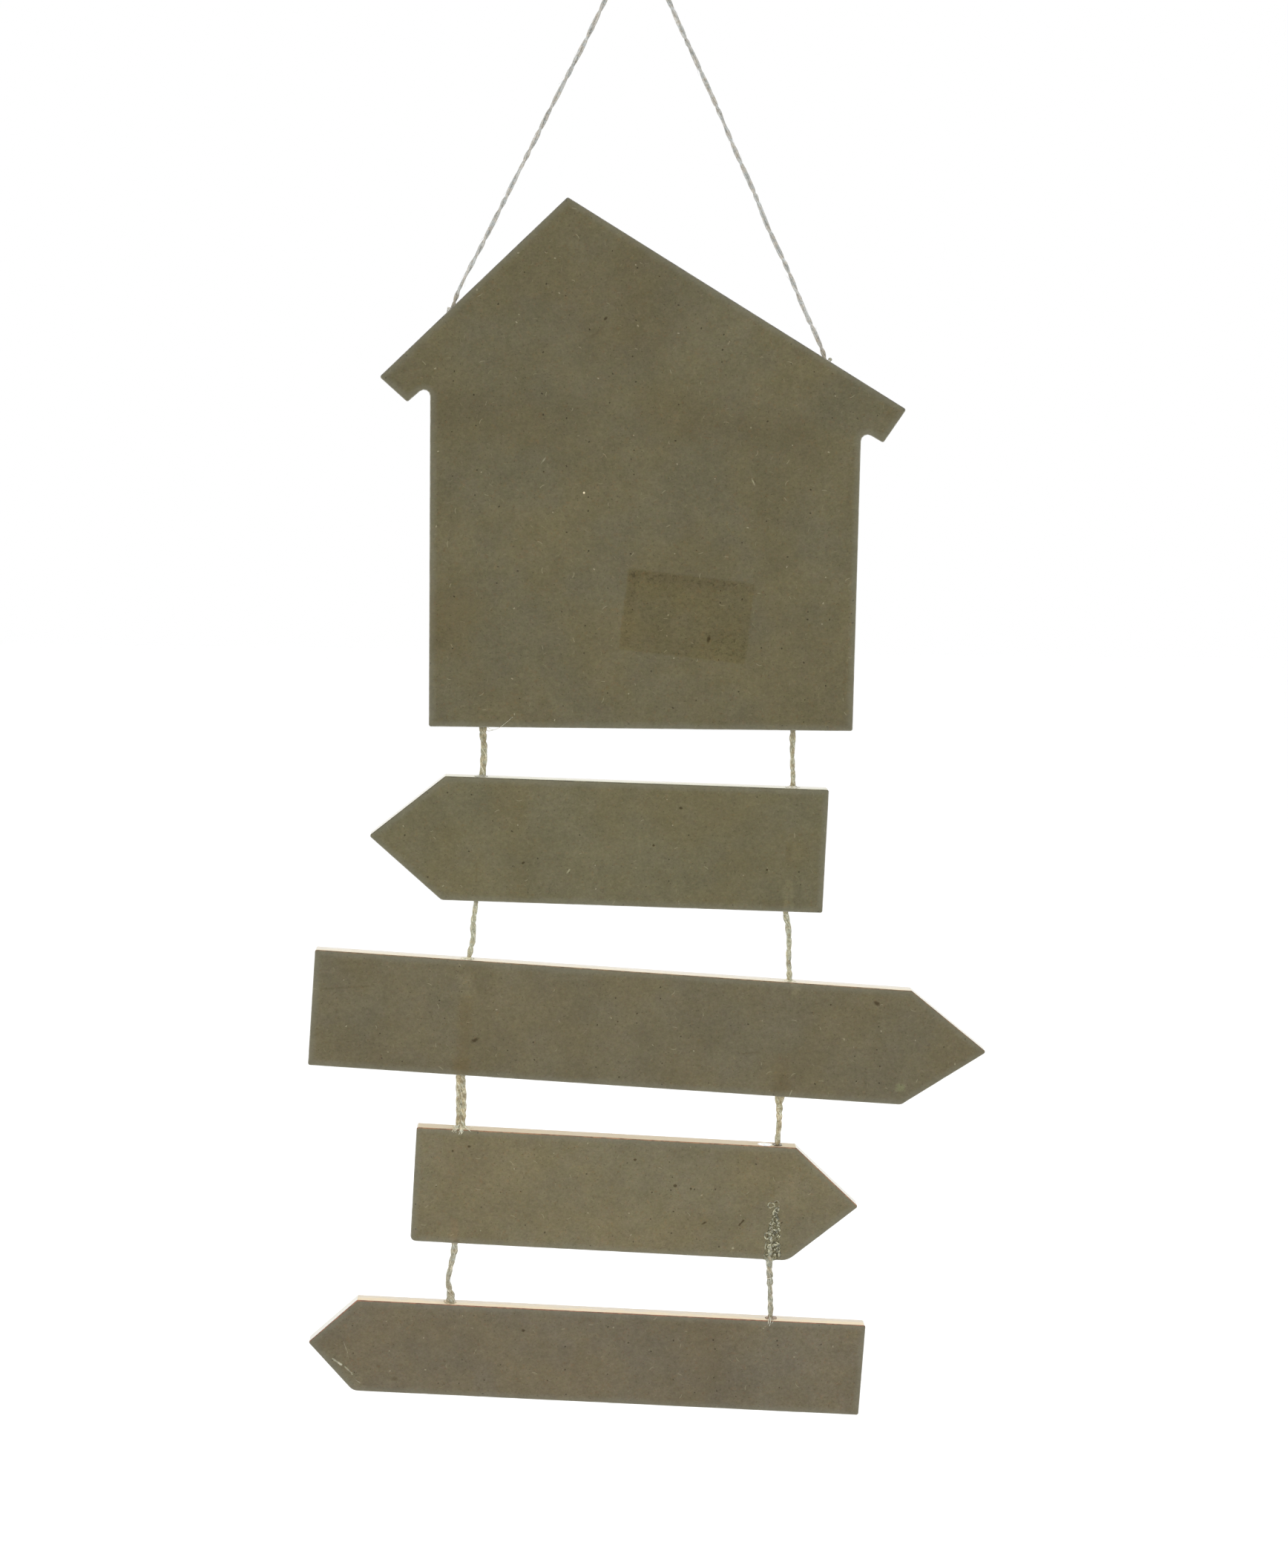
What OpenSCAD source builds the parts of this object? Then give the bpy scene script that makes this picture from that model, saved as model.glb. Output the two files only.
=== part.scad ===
// Decorative hanging sign: a house-shaped board with four arrow boards below it, linked by short twines.
// The boards hang in the XZ plane, their bare backs face -Y, and the origin is the nail inside the hanging loop.

/* [Boards] */
// Thickness of every board
board_t = 6; // [5.5:0.1:8]
// Radius of the slightly worn outline corners
corner_r = 0.8; // [0.3:0.1:2]
// Radius of the two softer lower corners of board 3
soft_corner_r = 2; // [0.5:0.1:4]

/* [House board] */
// Width of the house below its eaves
house_w = 154; // [140:1:170]
// Height from the base to the ridge
house_h = 189; // [170:1:210]
// Distance from the left side of the house to the ridge
ridge_in = 48; // [44:0.5:52]
// Pitch of the left roof slope in degrees
left_pitch = 44; // [38:0.1:48]
// Pitch of the right roof slope in degrees
right_pitch = 30.7; // [26:0.1:36]
// Level distance from the ridge to the left eave tip
left_run = 66; // [62:0.5:76]
// Level distance from the ridge to the right eave tip
right_run = 122; // [118:0.5:134]
// Length of the cut end of the left eave
left_cut = 13.2; // [10:0.1:15]
// Length of the cut end of the right eave
right_cut = 14.4; // [10:0.1:17]
// Slope of the left eave's cut end below level in degrees
left_cut_slope = 41.3; // [36:0.1:60]
// Slope of the right eave's cut end below level in degrees
right_cut_slope = 56.6; // [45:0.1:65]
// Slope of the left eave's underside in degrees
left_soffit = 41; // [36:0.1:48]
// Slope of the right eave's underside in degrees
right_soffit = 29.5; // [24:0.1:36]
// Radius of the inner corner under each eave
eave_r = 2.7; // [1:0.1:4]

/* [Board 1, pointing left] */
// Length of board 1 without its tip
board_1_len = 140; // [120:0.5:160]
// Height of board 1
board_1_h = 46; // [44:0.5:54]
// Length of board 1's tip
board_1_tip = 27; // [18:0.5:36]
// Reach of board 1's square end from the hang line
board_1_reach = 70; // [66:0.5:84]
// Droop of board 1 towards the right in degrees
board_1_droop = 1.5; // [-3:0.1:5]
// Gap above board 1 on the hang line
gap_1 = 20; // [14:0.5:28]

/* [Board 2, pointing right] */
// Length of board 2 without its tip
board_2_len = 220.5; // [190:0.5:250]
// Height of board 2
board_2_h = 43.7; // [42:0.1:52]
// Length of board 2's tip
board_2_tip = 30; // [18:0.5:40]
// Reach of board 2's square end from the hang line
board_2_reach = 117.5; // [100:0.5:130]
// Droop of board 2 towards the right in degrees
board_2_droop = 3.6; // [-3:0.1:5]
// Gap above board 2 on the hang line
gap_2 = 24.5; // [18:0.5:32]

/* [Board 3, pointing right] */
// Length of board 3 without its tip
board_3_len = 141.5; // [130:0.5:160]
// Height of board 3
board_3_h = 44; // [42:0.5:52]
// Length of board 3's tip
board_3_tip = 25; // [18:0.5:36]
// Reach of board 3's square end from the hang line
board_3_reach = 80; // [70:0.5:88]
// Droop of board 3 towards the right in degrees
board_3_droop = 2.9; // [-3:0.1:5]
// Gap above board 3 on the hang line
gap_3 = 20; // [14:0.5:28]

/* [Board 4, pointing left] */
// Length of board 4 without its tip
board_4_len = 191.5; // [170:0.5:220]
// Height of board 4
board_4_h = 35.7; // [24:0.1:44]
// Length of board 4's tip
board_4_tip = 17.5; // [12:0.5:26]
// Reach of board 4's square end from the hang line
board_4_reach = 89.5; // [80:0.5:104]
// Droop of board 4 towards the right in degrees
board_4_droop = 2.8; // [-3:0.1:5]
// Gap above board 4 on the hang line
gap_4 = 24; // [18:0.5:32]

/* [Hanging] */
// Distance of the ridge to the left of the nail
ridge_left_of_nail = 23.5; // [18:0.5:30]
// Drop from the nail to the ridge
ridge_drop = 79.5; // [70:0.5:90]
// Distance of the hang line, midway between the twines, to the right of the nail
hang_x = 4.5; // [0:0.5:10]
// Distance of the linking twines from the hang line
twine_reach = 60; // [56:0.5:64]

/* [Twine and glue] */
// Thickness of the twine
twine_d = 2; // [1.4:0.1:2.2]
// Thickness of each strand of the doubled twine, which is pulled thinner
pair_d = 1.7; // [1.2:0.1:1.8]
// Diameter of the holes drilled into the board edges
bore_d = 4; // [3.6:0.1:4.6]
// Diameter of the hole that holds the doubled twine
pair_bore_d = 4.4; // [4.2:0.1:4.8]
// Depth of the holes in the roof and top edges
top_hole_depth = 18; // [14:0.5:20]
// Depth of the holes in the base edges
base_hole_depth = 22; // [20:0.5:23]
// Width of the glue bead around a hole's mouth
bead_d = 5.2; // [4.8:0.1:5.4]
// Height of the glue bead
bead_h = 1; // [0.6:0.1:1.6]
// Clearance between set glue and the twine or the hole
fit_gap = 0.1; // [0.05:0.01:0.2]

/* [Breakout on the back of board 3] */
// Height of the strip where the drill broke through the back
breakout_h = 22; // [14:0.5:26]
// Width of the strip at the base edge
breakout_low_w = 6.4; // [4:0.1:8]
// Width of the strip at its upper end
breakout_high_w = 3.2; // [2:0.1:4]
// Depth of the strip below the back face
breakout_depth = 0.8; // [0.4:0.1:1.2]

/* [Hidden] */
$fn = 32;
over = 6;           // how far a cutter runs past the face that it opens
cord_sides = 8;
corner_steps = 4;
sleeve_stop = 1;    // how far the set glue stays above a hole's bottom
flare_depth = 0.8;  // how far below a mouth the twine's channel begins to flare
flare_slope = 12;   // half angle of that flare in degrees

// The ridge and the level of the house's base, seen from the nail
ridge = [-ridge_left_of_nail, -ridge_drop];
base_z = ridge.y - house_h;

// The arrow boards by number: index 0 stands for the house
arrow_len = [0, board_1_len, board_2_len, board_3_len, board_4_len];
arrow_h = [0, board_1_h, board_2_h, board_3_h, board_4_h];
arrow_tip = [0, board_1_tip, board_2_tip, board_3_tip, board_4_tip];
arrow_reach = [0, board_1_reach, board_2_reach, board_3_reach, board_4_reach];
arrow_droop = [0, board_1_droop, board_2_droop, board_3_droop, board_4_droop];
arrow_gap = [0, gap_1, gap_2, gap_3, gap_4];
points_right = [false, false, true, true, false];
tip_rise = [0, 0, 0.5, 0.5, 0.4];   // how far each tip sits above the middle of its board

// Level of the top edge of board k, and of its base edge, where they cross the hang line
function top_z(k) = base_level(k - 1) - arrow_gap[k];
function base_level(k) = k == 0 ? base_z : top_z(k) - arrow_h[k] / cos(arrow_droop[k]);

// Routes of the twines, each from one buried end to the other. The ends of the hanging twine are seen from
// the ridge, and its middle from the nail.
hanging_left = [[-42.5, 0, -53.5], [-41.5, 0, -47.5], [-40, 0, -38.5], [-37, 0, -30.5]];
hanging_middle = [
    [-54, 0, -97.5], [-48, 0, -85.5], [-41, 0, -71.5], [-34.5, 0, -58.5], [-28.5, 0, -46.5], [-18, 0, -26],
    [-11.5, 0, -12.5], [-7.5, 0, -4], [-4.5, 0, 2], [-2.8, 0, 4.1], [0, 0, 5], [2.8, 0, 4.1], [4.5, 0, 2],
    [7.5, 0, -4], [11, 0, -11.5], [17.5, 0, -25], [24, 0, -38], [30.5, 0, -51.5], [35.5, 0, -62.5],
    [42.5, 0, -77], [47.5, 0, -88.5], [55, 0, -103.5]
];
hanging_right = [[84.5, 0, -37.5], [89, 0, -46.5], [92.5, 0, -55], [93.3, 0, -62.5], [94, 0, -69.5]];
function from_ridge(points) = [for (p = points) p + [ridge.x, 0, ridge.y]];
hanging_route = concat(from_ridge(hanging_left), hanging_middle, from_ridge(hanging_right));

// A link's first points are seen from the base edge above it, and its last ones from the top edge below it.
// Side is -1 for the left twines and 1 for the right ones.
function link(k, side, upper, lower) =
    let (x = hang_x + side * twine_reach)
    concat([for (p = upper) p + [x, 0, base_level(k - 1)]], [for (p = lower) p + [x, 0, top_z(k)]]);
route_1_left = link(1, -1, [[3.5, 0, 18], [3.5, 0, 0], [4, 0, -9.5]], [[3.5, 0, 1.5], [3, 0, -13.5]]);
route_1_right = link(1, 1, [[-3.5, 0, 18], [-3.5, 0, 0], [-3.5, 0, -10.5]], [[-3, 0, -1.5], [-3.5, 0, -16.5]]);
route_2_left = link(2, -1, [[2, 0, 19.5], [1.5, 0, 1.5], [0.5, 0, -7], [0.5, 0, -13]],
    [[-1, 0, 3.5], [-2, 0, -11.5]]);
route_2_right = link(2, 1, [[-4, 0, 16.5], [-4.5, 0, -1.5], [-3.5, 0, -7], [-3, 0, -13.5]],
    [[-3, 0, 4], [-2.5, 0, -4], [-3.5, 0, -19]]);
route_3_outer = link(3, -1, [[-3.5, 0, 22], [-4.5, 0, 4], [-4.5, 0, -6]], [[-4.5, 0, 3.5], [-5, 0, -11.5]]);
route_3_inner = link(3, -1, [[-1.7, 0, 22], [-2.7, 0, 4], [-2.3, 0, -6]], [[-2.7, 0, 3.5], [-3.2, 0, -11.5]]);
route_3_right = link(3, 1, [[-4, 0, 14.5], [-5, 0, -3.5], [-5, 0, -9]],
    [[-5, 0, 5.5], [-5.5, 0, -2.5], [-6.5, 0, -17.5]]);
route_4_left = link(4, -1, [[-4.5, 0, 21.5], [-5.5, 0, 3.5], [-6, 0, -2], [-7, 0, -6.5], [-8, 0, -12]],
    [[-7.5, 0, 8.5], [-7, 0, 3.5], [-7.5, 0, -11.5]]);
route_4_right = link(4, 1, [[-6.5, -1.2, 16], [-7.5, -1.8, -2.5], [-7, -1, -12.5]],
    [[-6.5, 0, -2.5], [-7.5, 0, -17.5]]);

// The buried end of a twine and the point after it, at its first end or at its last
function head(route) = [route[0], route[1]];
function tail(route) = [route[len(route) - 1], route[len(route) - 2]];

// Each drilled hole: name of its glue, board number, edge, and the ends of the twines that it holds
HOLES = [
    ["roof_glue_left", 0, "left roof", [head(hanging_route)]],
    ["roof_glue_right", 0, "right roof", [tail(hanging_route)]],
    ["house_base_glue_left", 0, "base", [head(route_1_left)]],
    ["house_base_glue_right", 0, "base", [head(route_1_right)]],
    ["board_1_top_glue_left", 1, "top", [tail(route_1_left)]],
    ["board_1_top_glue_right", 1, "top", [tail(route_1_right)]],
    ["board_1_base_glue_left", 1, "base", [head(route_2_left)]],
    ["board_1_base_glue_right", 1, "base", [head(route_2_right)]],
    ["board_2_top_glue_left", 2, "top", [tail(route_2_left)]],
    ["board_2_top_glue_right", 2, "top", [tail(route_2_right)]],
    ["board_2_base_glue_left", 2, "base", [head(route_3_outer), head(route_3_inner)]],
    ["board_2_base_glue_right", 2, "base", [head(route_3_right)]],
    ["board_3_top_glue_left", 3, "top", [tail(route_3_outer), tail(route_3_inner)]],
    ["board_3_top_glue_right", 3, "top", [tail(route_3_right)]],
    ["board_3_base_glue_left", 3, "base", [head(route_4_left)]],
    ["board_3_base_glue_right", 3, "base", [head(route_4_right)]],
    ["board_4_top_glue_left", 4, "top", [tail(route_4_left)]],
    ["board_4_top_glue_right", 4, "top", [tail(route_4_right)]]
];

function hole_named(name) = [for (hole = HOLES) if (hole[0] == name) hole][0];

// Vector helpers
function unit(v) = v / norm(v);
function sum(list, i = 0) = i == len(list) - 1 ? list[i] : list[i] + sum(list, i + 1);
function mean(list) = sum(list) / len(list);

// The top edge of a board points up and leans to the right with the board's droop
function up_of(k) = [sin(arrow_droop[k]), 0, cos(arrow_droop[k])];

// Outward normal of an edge, and a point on it
function edge_normal(k, edge) =
    edge == "left roof" ? [-sin(left_pitch), 0, cos(left_pitch)]
    : edge == "right roof" ? [sin(right_pitch), 0, cos(right_pitch)]
    : edge == "top" ? up_of(k)
    : -up_of(k);
function edge_point(k, edge) =
    k == 0 ? [ridge.x, 0, edge == "base" ? base_z : ridge.y]
    : [hang_x, 0, edge == "top" ? top_z(k) : base_level(k)];

// A hole's axis follows the buried end of its twine, and the mouth lies where that axis meets the edge
function hole_axis(hole) = unit(mean([for (e = hole[3]) e[1]]) - mean([for (e = hole[3]) e[0]]));
function hole_mouth(hole) =
    let (start = mean([for (e = hole[3]) e[0]]), axis = hole_axis(hole), n = edge_normal(hole[1], hole[2]))
    start + axis * ((edge_point(hole[1], hole[2]) - start) * n) / (axis * n);
function hole_d(hole) = len(hole[3]) > 1 ? pair_bore_d : bore_d;
function hole_depth(hole) = hole[2] == "base" ? base_hole_depth : top_hole_depth;
function strand_d(hole) = len(hole[3]) > 1 ? pair_d : twine_d;

// Outline with round corners, where each corner is [x, z, radius]
function corner_arc(a, b, c, r) =
    let (u = unit(a - b), w = unit(c - b), half = acos(max(-1, min(1, u * w))) / 2,
        reach = min(r / tan(half), 0.45 * min(norm(a - b), norm(c - b))),
        centre = b + unit(u + w) * reach / cos(half),
        from = b + u * reach - centre, to = b + w * reach - centre,
        a0 = atan2(from.y, from.x), turn = (atan2(to.y, to.x) - a0 + 540) % 360 - 180)
    [for (i = [0:corner_steps]) centre + norm(from) * [cos(a0 + turn * i / corner_steps),
        sin(a0 + turn * i / corner_steps)]];
function rounded(corners) =
    let (n = len(corners), flat = [for (c = corners) [c.x, c.y]])
    [for (i = [0:n - 1]) each corner_arc(flat[(i + n - 1) % n], flat[i], flat[(i + 1) % n], corners[i].z)];

// Corners of the house, clockwise from the ridge as seen from the back, with the ridge at zero
function house_corners() =
    let (right_tip = [right_run, -right_run * tan(right_pitch)],
        right_low = right_tip + right_cut * [-cos(right_cut_slope), -sin(right_cut_slope)],
        right_side = house_w - ridge_in,
        left_tip = [-left_run, -left_run * tan(left_pitch)],
        left_low = left_tip + left_cut * [cos(left_cut_slope), -sin(left_cut_slope)],
        left_side = -ridge_in)
    [
        [0, 0, corner_r],
        [right_tip.x, right_tip.y, corner_r],
        [right_low.x, right_low.y, corner_r],
        [right_side, right_low.y + (right_low.x - right_side) * tan(right_soffit), eave_r],
        [right_side, -house_h, corner_r],
        [left_side, -house_h, corner_r],
        [left_side, left_low.y + (left_side - left_low.x) * tan(left_soffit), eave_r],
        [left_low.x, left_low.y, corner_r],
        [left_tip.x, left_tip.y, corner_r]
    ];

// Corners of arrow board k, with zero where its top edge crosses the hang line, pointing to side s
function arrow_corners(k) =
    let (s = points_right[k] ? 1 : -1, square = -s * arrow_reach[k], shoulder = square + s * arrow_len[k],
        low_r = k == 3 ? soft_corner_r : corner_r)
    [
        [square, 0, corner_r],
        [shoulder, 0, corner_r],
        [shoulder + s * arrow_tip[k], tip_rise[k] - arrow_h[k] / 2, corner_r],
        [shoulder, -arrow_h[k], low_r],
        [square, -arrow_h[k], low_r]
    ];

// Turn what is drawn along +Z to point along a direction
module along(direction) {
    rotate([0, acos(direction.z / norm(direction)), atan2(direction.y, direction.x)]) children();
}

// A board cut from sheet to an outline in the XZ plane
module sheet_board(corners) {
    rotate([90, 0, 0]) linear_extrude(height = board_t, center = true) polygon(rounded(corners));
}

// The hole as drilled, open past its mouth
module drilled_hole(hole) {
    axis = hole_axis(hole);
    translate(hole_mouth(hole) - axis * hole_depth(hole)) along(axis)
        cylinder(d = hole_d(hole), h = hole_depth(hole) + over);
}

module drilled_holes(k) {
    for (hole = HOLES) if (hole[1] == k) drilled_hole(hole);
}

// The strip that the drill tore out of board 3's back, widest at the base edge
module breakout() {
    mouth = hole_mouth(hole_named("board_3_base_glue_right"));
    translate([mouth.x, -board_t / 2 + breakout_depth, mouth.z]) rotate([90, 0, 0])
        linear_extrude(height = breakout_depth + over)
            polygon([[-breakout_low_w / 2, -over], [breakout_low_w / 2, -over], [breakout_low_w / 2, 0],
                [breakout_high_w / 2, breakout_h], [-breakout_high_w / 2, breakout_h], [-breakout_low_w / 2, 0]]);
}

module house_board() {
    color("darkkhaki") difference() {
        translate([ridge.x, 0, ridge.y]) sheet_board(house_corners());
        drilled_holes(0);
    }
}

module arrow_board(k) {
    color("tan") difference() {
        translate([hang_x, 0, top_z(k)]) rotate([0, arrow_droop[k], 0]) sheet_board(arrow_corners(k));
        drilled_holes(k);
        if (k == 3) breakout();
    }
}

// A twine as a tube with flat sides, swept along its route
function heading(route, i) = unit(route[min(i + 1, len(route) - 1)] - route[max(i - 1, 0)]);
function cord_ring(route, i, r) =
    let (t = heading(route, i), n = unit([0, 1, 0] - t * t.y), b = cross(t, n))
    [for (s = [0:cord_sides - 1]) route[i] + r * (cos(360 * s / cord_sides) * n + sin(360 * s / cord_sides) * b)];

module twine(route, d) {
    last = len(route) - 1;
    points = [for (i = [0:last]) each cord_ring(route, i, d / 2)];
    walls = [for (i = [0:last - 1], s = [0:cord_sides - 1])
        let (a = i * cord_sides + s, b = i * cord_sides + (s + 1) % cord_sides)
        each [[a, a + cord_sides, b + cord_sides], [a, b + cord_sides, b]]];
    near_end = [for (s = [0:cord_sides - 1]) s];
    far_end = [for (s = [0:cord_sides - 1]) last * cord_sides + cord_sides - 1 - s];
    color("burlywood") polyhedron(points, concat([near_end], walls, [far_end]), convexity = 6);
}

// The space that the twine needs inside the glue, drawn along +Z from the mouth, flaring where the twine may bend
module twine_channel(hole) {
    d = len(hole[3]) * strand_d(hole) + 2 * fit_gap;
    translate([0, 0, -hole_depth(hole) - over]) cylinder(d = d, h = hole_depth(hole) + 2 * over);
    translate([0, 0, -flare_depth])
        cylinder(d1 = d, d2 = d + 2 * (flare_depth + over) * tan(flare_slope), h = flare_depth + over);
}

// A low round bead standing on an edge
module bead() {
    ball_r = (pow(bead_d / 2, 2) + pow(bead_h, 2)) / (2 * bead_h);
    intersection() {
        translate([0, 0, bead_h - ball_r]) sphere(r = ball_r);
        cylinder(r = over, h = over);
    }
}

// Set glue: a sleeve around the twine inside the hole, and a bead at its mouth
module glue(hole) {
    axis = hole_axis(hole);
    mouth = hole_mouth(hole);
    sleeve = hole_depth(hole) - sleeve_stop;
    color("lightgoldenrodyellow") difference() {
        intersection() {
            union() {
                translate(mouth - axis * sleeve) along(axis)
                    cylinder(d = hole_d(hole) - 2 * fit_gap, h = sleeve + bead_h / 4);
                translate(mouth) along(edge_normal(hole[1], hole[2])) bead();
            }
            translate([mouth.x, 0, mouth.z]) cube([4 * over, board_t, 2 * (sleeve + over)], center = true);
        }
        translate(mouth) along(axis) twine_channel(hole);
    }
}

house_board();
arrow_board(1);  // arrow_board_1
arrow_board(2);  // arrow_board_2
arrow_board(3);  // arrow_board_3
arrow_board(4);  // arrow_board_4
twine(hanging_route, twine_d);  // hanging_cord
twine(route_1_left, twine_d);  // link_cord_1_left
twine(route_1_right, twine_d);  // link_cord_1_right
twine(route_2_left, twine_d);  // link_cord_2_left
twine(route_2_right, twine_d);  // link_cord_2_right
twine(route_3_outer, pair_d);  // link_cord_3_left_outer
twine(route_3_inner, pair_d);  // link_cord_3_left_inner
twine(route_3_right, twine_d);  // link_cord_3_right
twine(route_4_left, twine_d);  // link_cord_4_left
twine(route_4_right, twine_d);  // link_cord_4_right
for (hole = HOLES) glue(hole);
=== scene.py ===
# Looks of the decorative hanging sign: raw fibreboard seen from the back, hung and linked with jute twine.
# Lengths are in millimetres in the part's own frame, and turn into metres where a mesh or an object is made.

import math

import bmesh
import bpy
import numpy as np
from mathutils import Matrix, Vector, noise
from mathutils.geometry import delaunay_2d_cdt


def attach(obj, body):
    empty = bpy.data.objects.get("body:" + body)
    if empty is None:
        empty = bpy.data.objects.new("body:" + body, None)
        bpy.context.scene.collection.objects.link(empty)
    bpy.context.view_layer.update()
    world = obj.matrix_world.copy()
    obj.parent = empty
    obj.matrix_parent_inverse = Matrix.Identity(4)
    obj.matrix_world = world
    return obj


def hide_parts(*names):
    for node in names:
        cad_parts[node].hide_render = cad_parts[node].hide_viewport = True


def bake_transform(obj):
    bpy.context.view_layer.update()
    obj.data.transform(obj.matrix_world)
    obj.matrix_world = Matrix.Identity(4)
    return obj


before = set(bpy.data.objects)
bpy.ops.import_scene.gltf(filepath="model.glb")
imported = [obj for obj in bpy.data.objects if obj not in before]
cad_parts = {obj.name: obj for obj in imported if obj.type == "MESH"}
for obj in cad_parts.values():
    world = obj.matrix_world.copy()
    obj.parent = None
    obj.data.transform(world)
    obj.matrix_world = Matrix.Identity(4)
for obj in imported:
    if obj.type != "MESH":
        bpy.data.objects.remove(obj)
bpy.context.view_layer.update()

MM = 0.001
PHOTO_H = 2113


# Camera, background and lights

CAMERA_AT = (-34.73, -1067.33, -104.30)
CAMERA_PITCH = 9.8265   # degrees below level
CAMERA_YAW = 2.2357     # degrees towards +X
CAMERA_ROLL = 0.9547
FOCAL_PX = 4000.0       # focal length in pixels of the photograph
SENSOR_H = 36.0
FLOOR_Z = -750.0
FLOOR_HALF = 4000.0
FLOOR_GREY = 0.85
FLOOR_GLOW = 0.3        # its own light, which only the camera sees


def look_matrix(at, pitch, yaw, roll):
    """World matrix of a camera that looks along +Y when all its angles are zero."""
    pitch, yaw, roll = (math.radians(a) for a in (pitch, yaw, roll))
    ahead = Vector((math.sin(yaw) * math.cos(pitch), math.cos(yaw) * math.cos(pitch), -math.sin(pitch)))
    level = Vector((math.cos(yaw), -math.sin(yaw), 0))
    upright = level.cross(ahead)
    right = math.cos(roll) * level + math.sin(roll) * upright
    up = math.cos(roll) * upright - math.sin(roll) * level
    turn = Matrix((right, up, -ahead)).transposed().to_4x4()
    return Matrix.Translation(Vector(at) * MM) @ turn


def make_camera():
    data = bpy.data.cameras.new("camera")
    data.sensor_fit = "VERTICAL"
    data.sensor_height = SENSOR_H
    data.lens = FOCAL_PX * SENSOR_H / PHOTO_H
    camera = new_object("camera", data)
    camera.matrix_world = look_matrix(CAMERA_AT, CAMERA_PITCH, CAMERA_YAW, CAMERA_ROLL)
    bpy.context.scene.camera = camera


def make_world(ambient):
    """White for the camera and in gloss and glass, and an even grey for all other light."""
    world = bpy.data.worlds.new("studio")
    world.use_nodes = True
    tree = world.node_tree
    rays = add_node(tree, "LightPath")
    seen = rays["Is Camera Ray"]
    for name in ("Is Glossy Ray", "Is Transmission Ray"):
        seen = add_node(tree, "Math", {0: seen, 1: rays[name]}, operation="MAXIMUM")[0]
    background = tree.nodes["Background"].inputs
    put(background["Color"], (1, 1, 1, 1))
    ends = {"Value": seen, "To Min": ambient, "To Max": 1.0}
    put(background["Strength"], add_node(tree, "MapRange", ends)[0])
    bpy.context.scene.world = world


def make_lamp(name, at, aim, size, watts):
    data = bpy.data.lights.new(name, "AREA")
    data.size = size * MM
    data.energy = watts
    lamp = new_object(name, data)
    lamp.location = Vector(at) * MM
    lamp.rotation_euler = (Vector(aim) - Vector(at)).to_track_quat("-Z", "Y").to_euler()


def make_floor():
    """A pale floor that the camera sees as white, but for the object's soft shadow."""
    s = Shader("floor_white")
    glow = s.math("MULTIPLY", s.node("LightPath")["Is Camera Ray"], FLOOR_GLOW)
    light = {"Emission Color": (1, 1, 1, 1), "Emission Strength": glow}
    material = s.done((FLOOR_GREY, FLOOR_GREY, FLOOR_GREY, 1), 0.9, None, light)
    corners = [(x * FLOOR_HALF, y * FLOOR_HALF, FLOOR_Z) for x, y in ((-1, -1), (1, -1), (1, 1), (-1, 1))]
    add_object("floor", corners, [(0, 1, 2, 3)], [material])


# Sizes and routes, the same as in the part's source

BOARD_T = 6.0
TWINE_D = 2.0
HANGING_D = 1.6         # of the hanging twine where it is pulled thin
BORE_D = 4.0
PAIR_BORE_D = 4.4
TOP_HOLE_DEPTH = 18.0
BASE_HOLE_DEPTH = 22.0
HANG_X = 4.5            # of the hang line, midway between the twines
TWINE_REACH = 60.0      # of the twines' holes to either side of it
RIDGE = (-23.5, 0, -79.5)
# Level of the base of the house and of boards 1 to 3, and of the top of boards 1 to 4, on the hang line
BASE_LEVEL = (-268.5, -334.52, -402.80, -466.86)
TOP_LEVEL = (-288.5, -359.02, -422.80, -490.86)


def shifted(points, by):
    return [tuple(p[i] + by[i] for i in range(3)) for p in points]


def link_route(k, side, upper, lower):
    """Route of a twine over gap k, from points that are given from the base above and from the top below."""
    x = HANG_X + side * TWINE_REACH
    return shifted(upper, (x, 0, BASE_LEVEL[k - 1])) + shifted(lower, (x, 0, TOP_LEVEL[k - 1]))


HANGING_ROUTE = (
    shifted([(-42.5, 0, -53.5), (-41.5, 0, -47.5), (-40, 0, -38.5), (-37, 0, -30.5)], RIDGE)
    + [
        (-54, 0, -97.5), (-48, 0, -85.5), (-41, 0, -71.5), (-34.5, 0, -58.5), (-28.5, 0, -46.5),
        (-18, 0, -26), (-11.5, 0, -12.5), (-7.5, 0, -4), (-4.5, 0, 2), (-2.8, 0, 4.1), (0, 0, 5),
        (2.8, 0, 4.1), (4.5, 0, 2), (7.5, 0, -4), (11, 0, -11.5), (17.5, 0, -25), (24, 0, -38),
        (30.5, 0, -51.5), (35.5, 0, -62.5), (42.5, 0, -77), (47.5, 0, -88.5), (55, 0, -103.5),
    ]
    + shifted([(84.5, 0, -37.5), (89, 0, -46.5), (92.5, 0, -55), (93.3, 0, -62.5), (94, 0, -69.5)], RIDGE)
)
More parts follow.
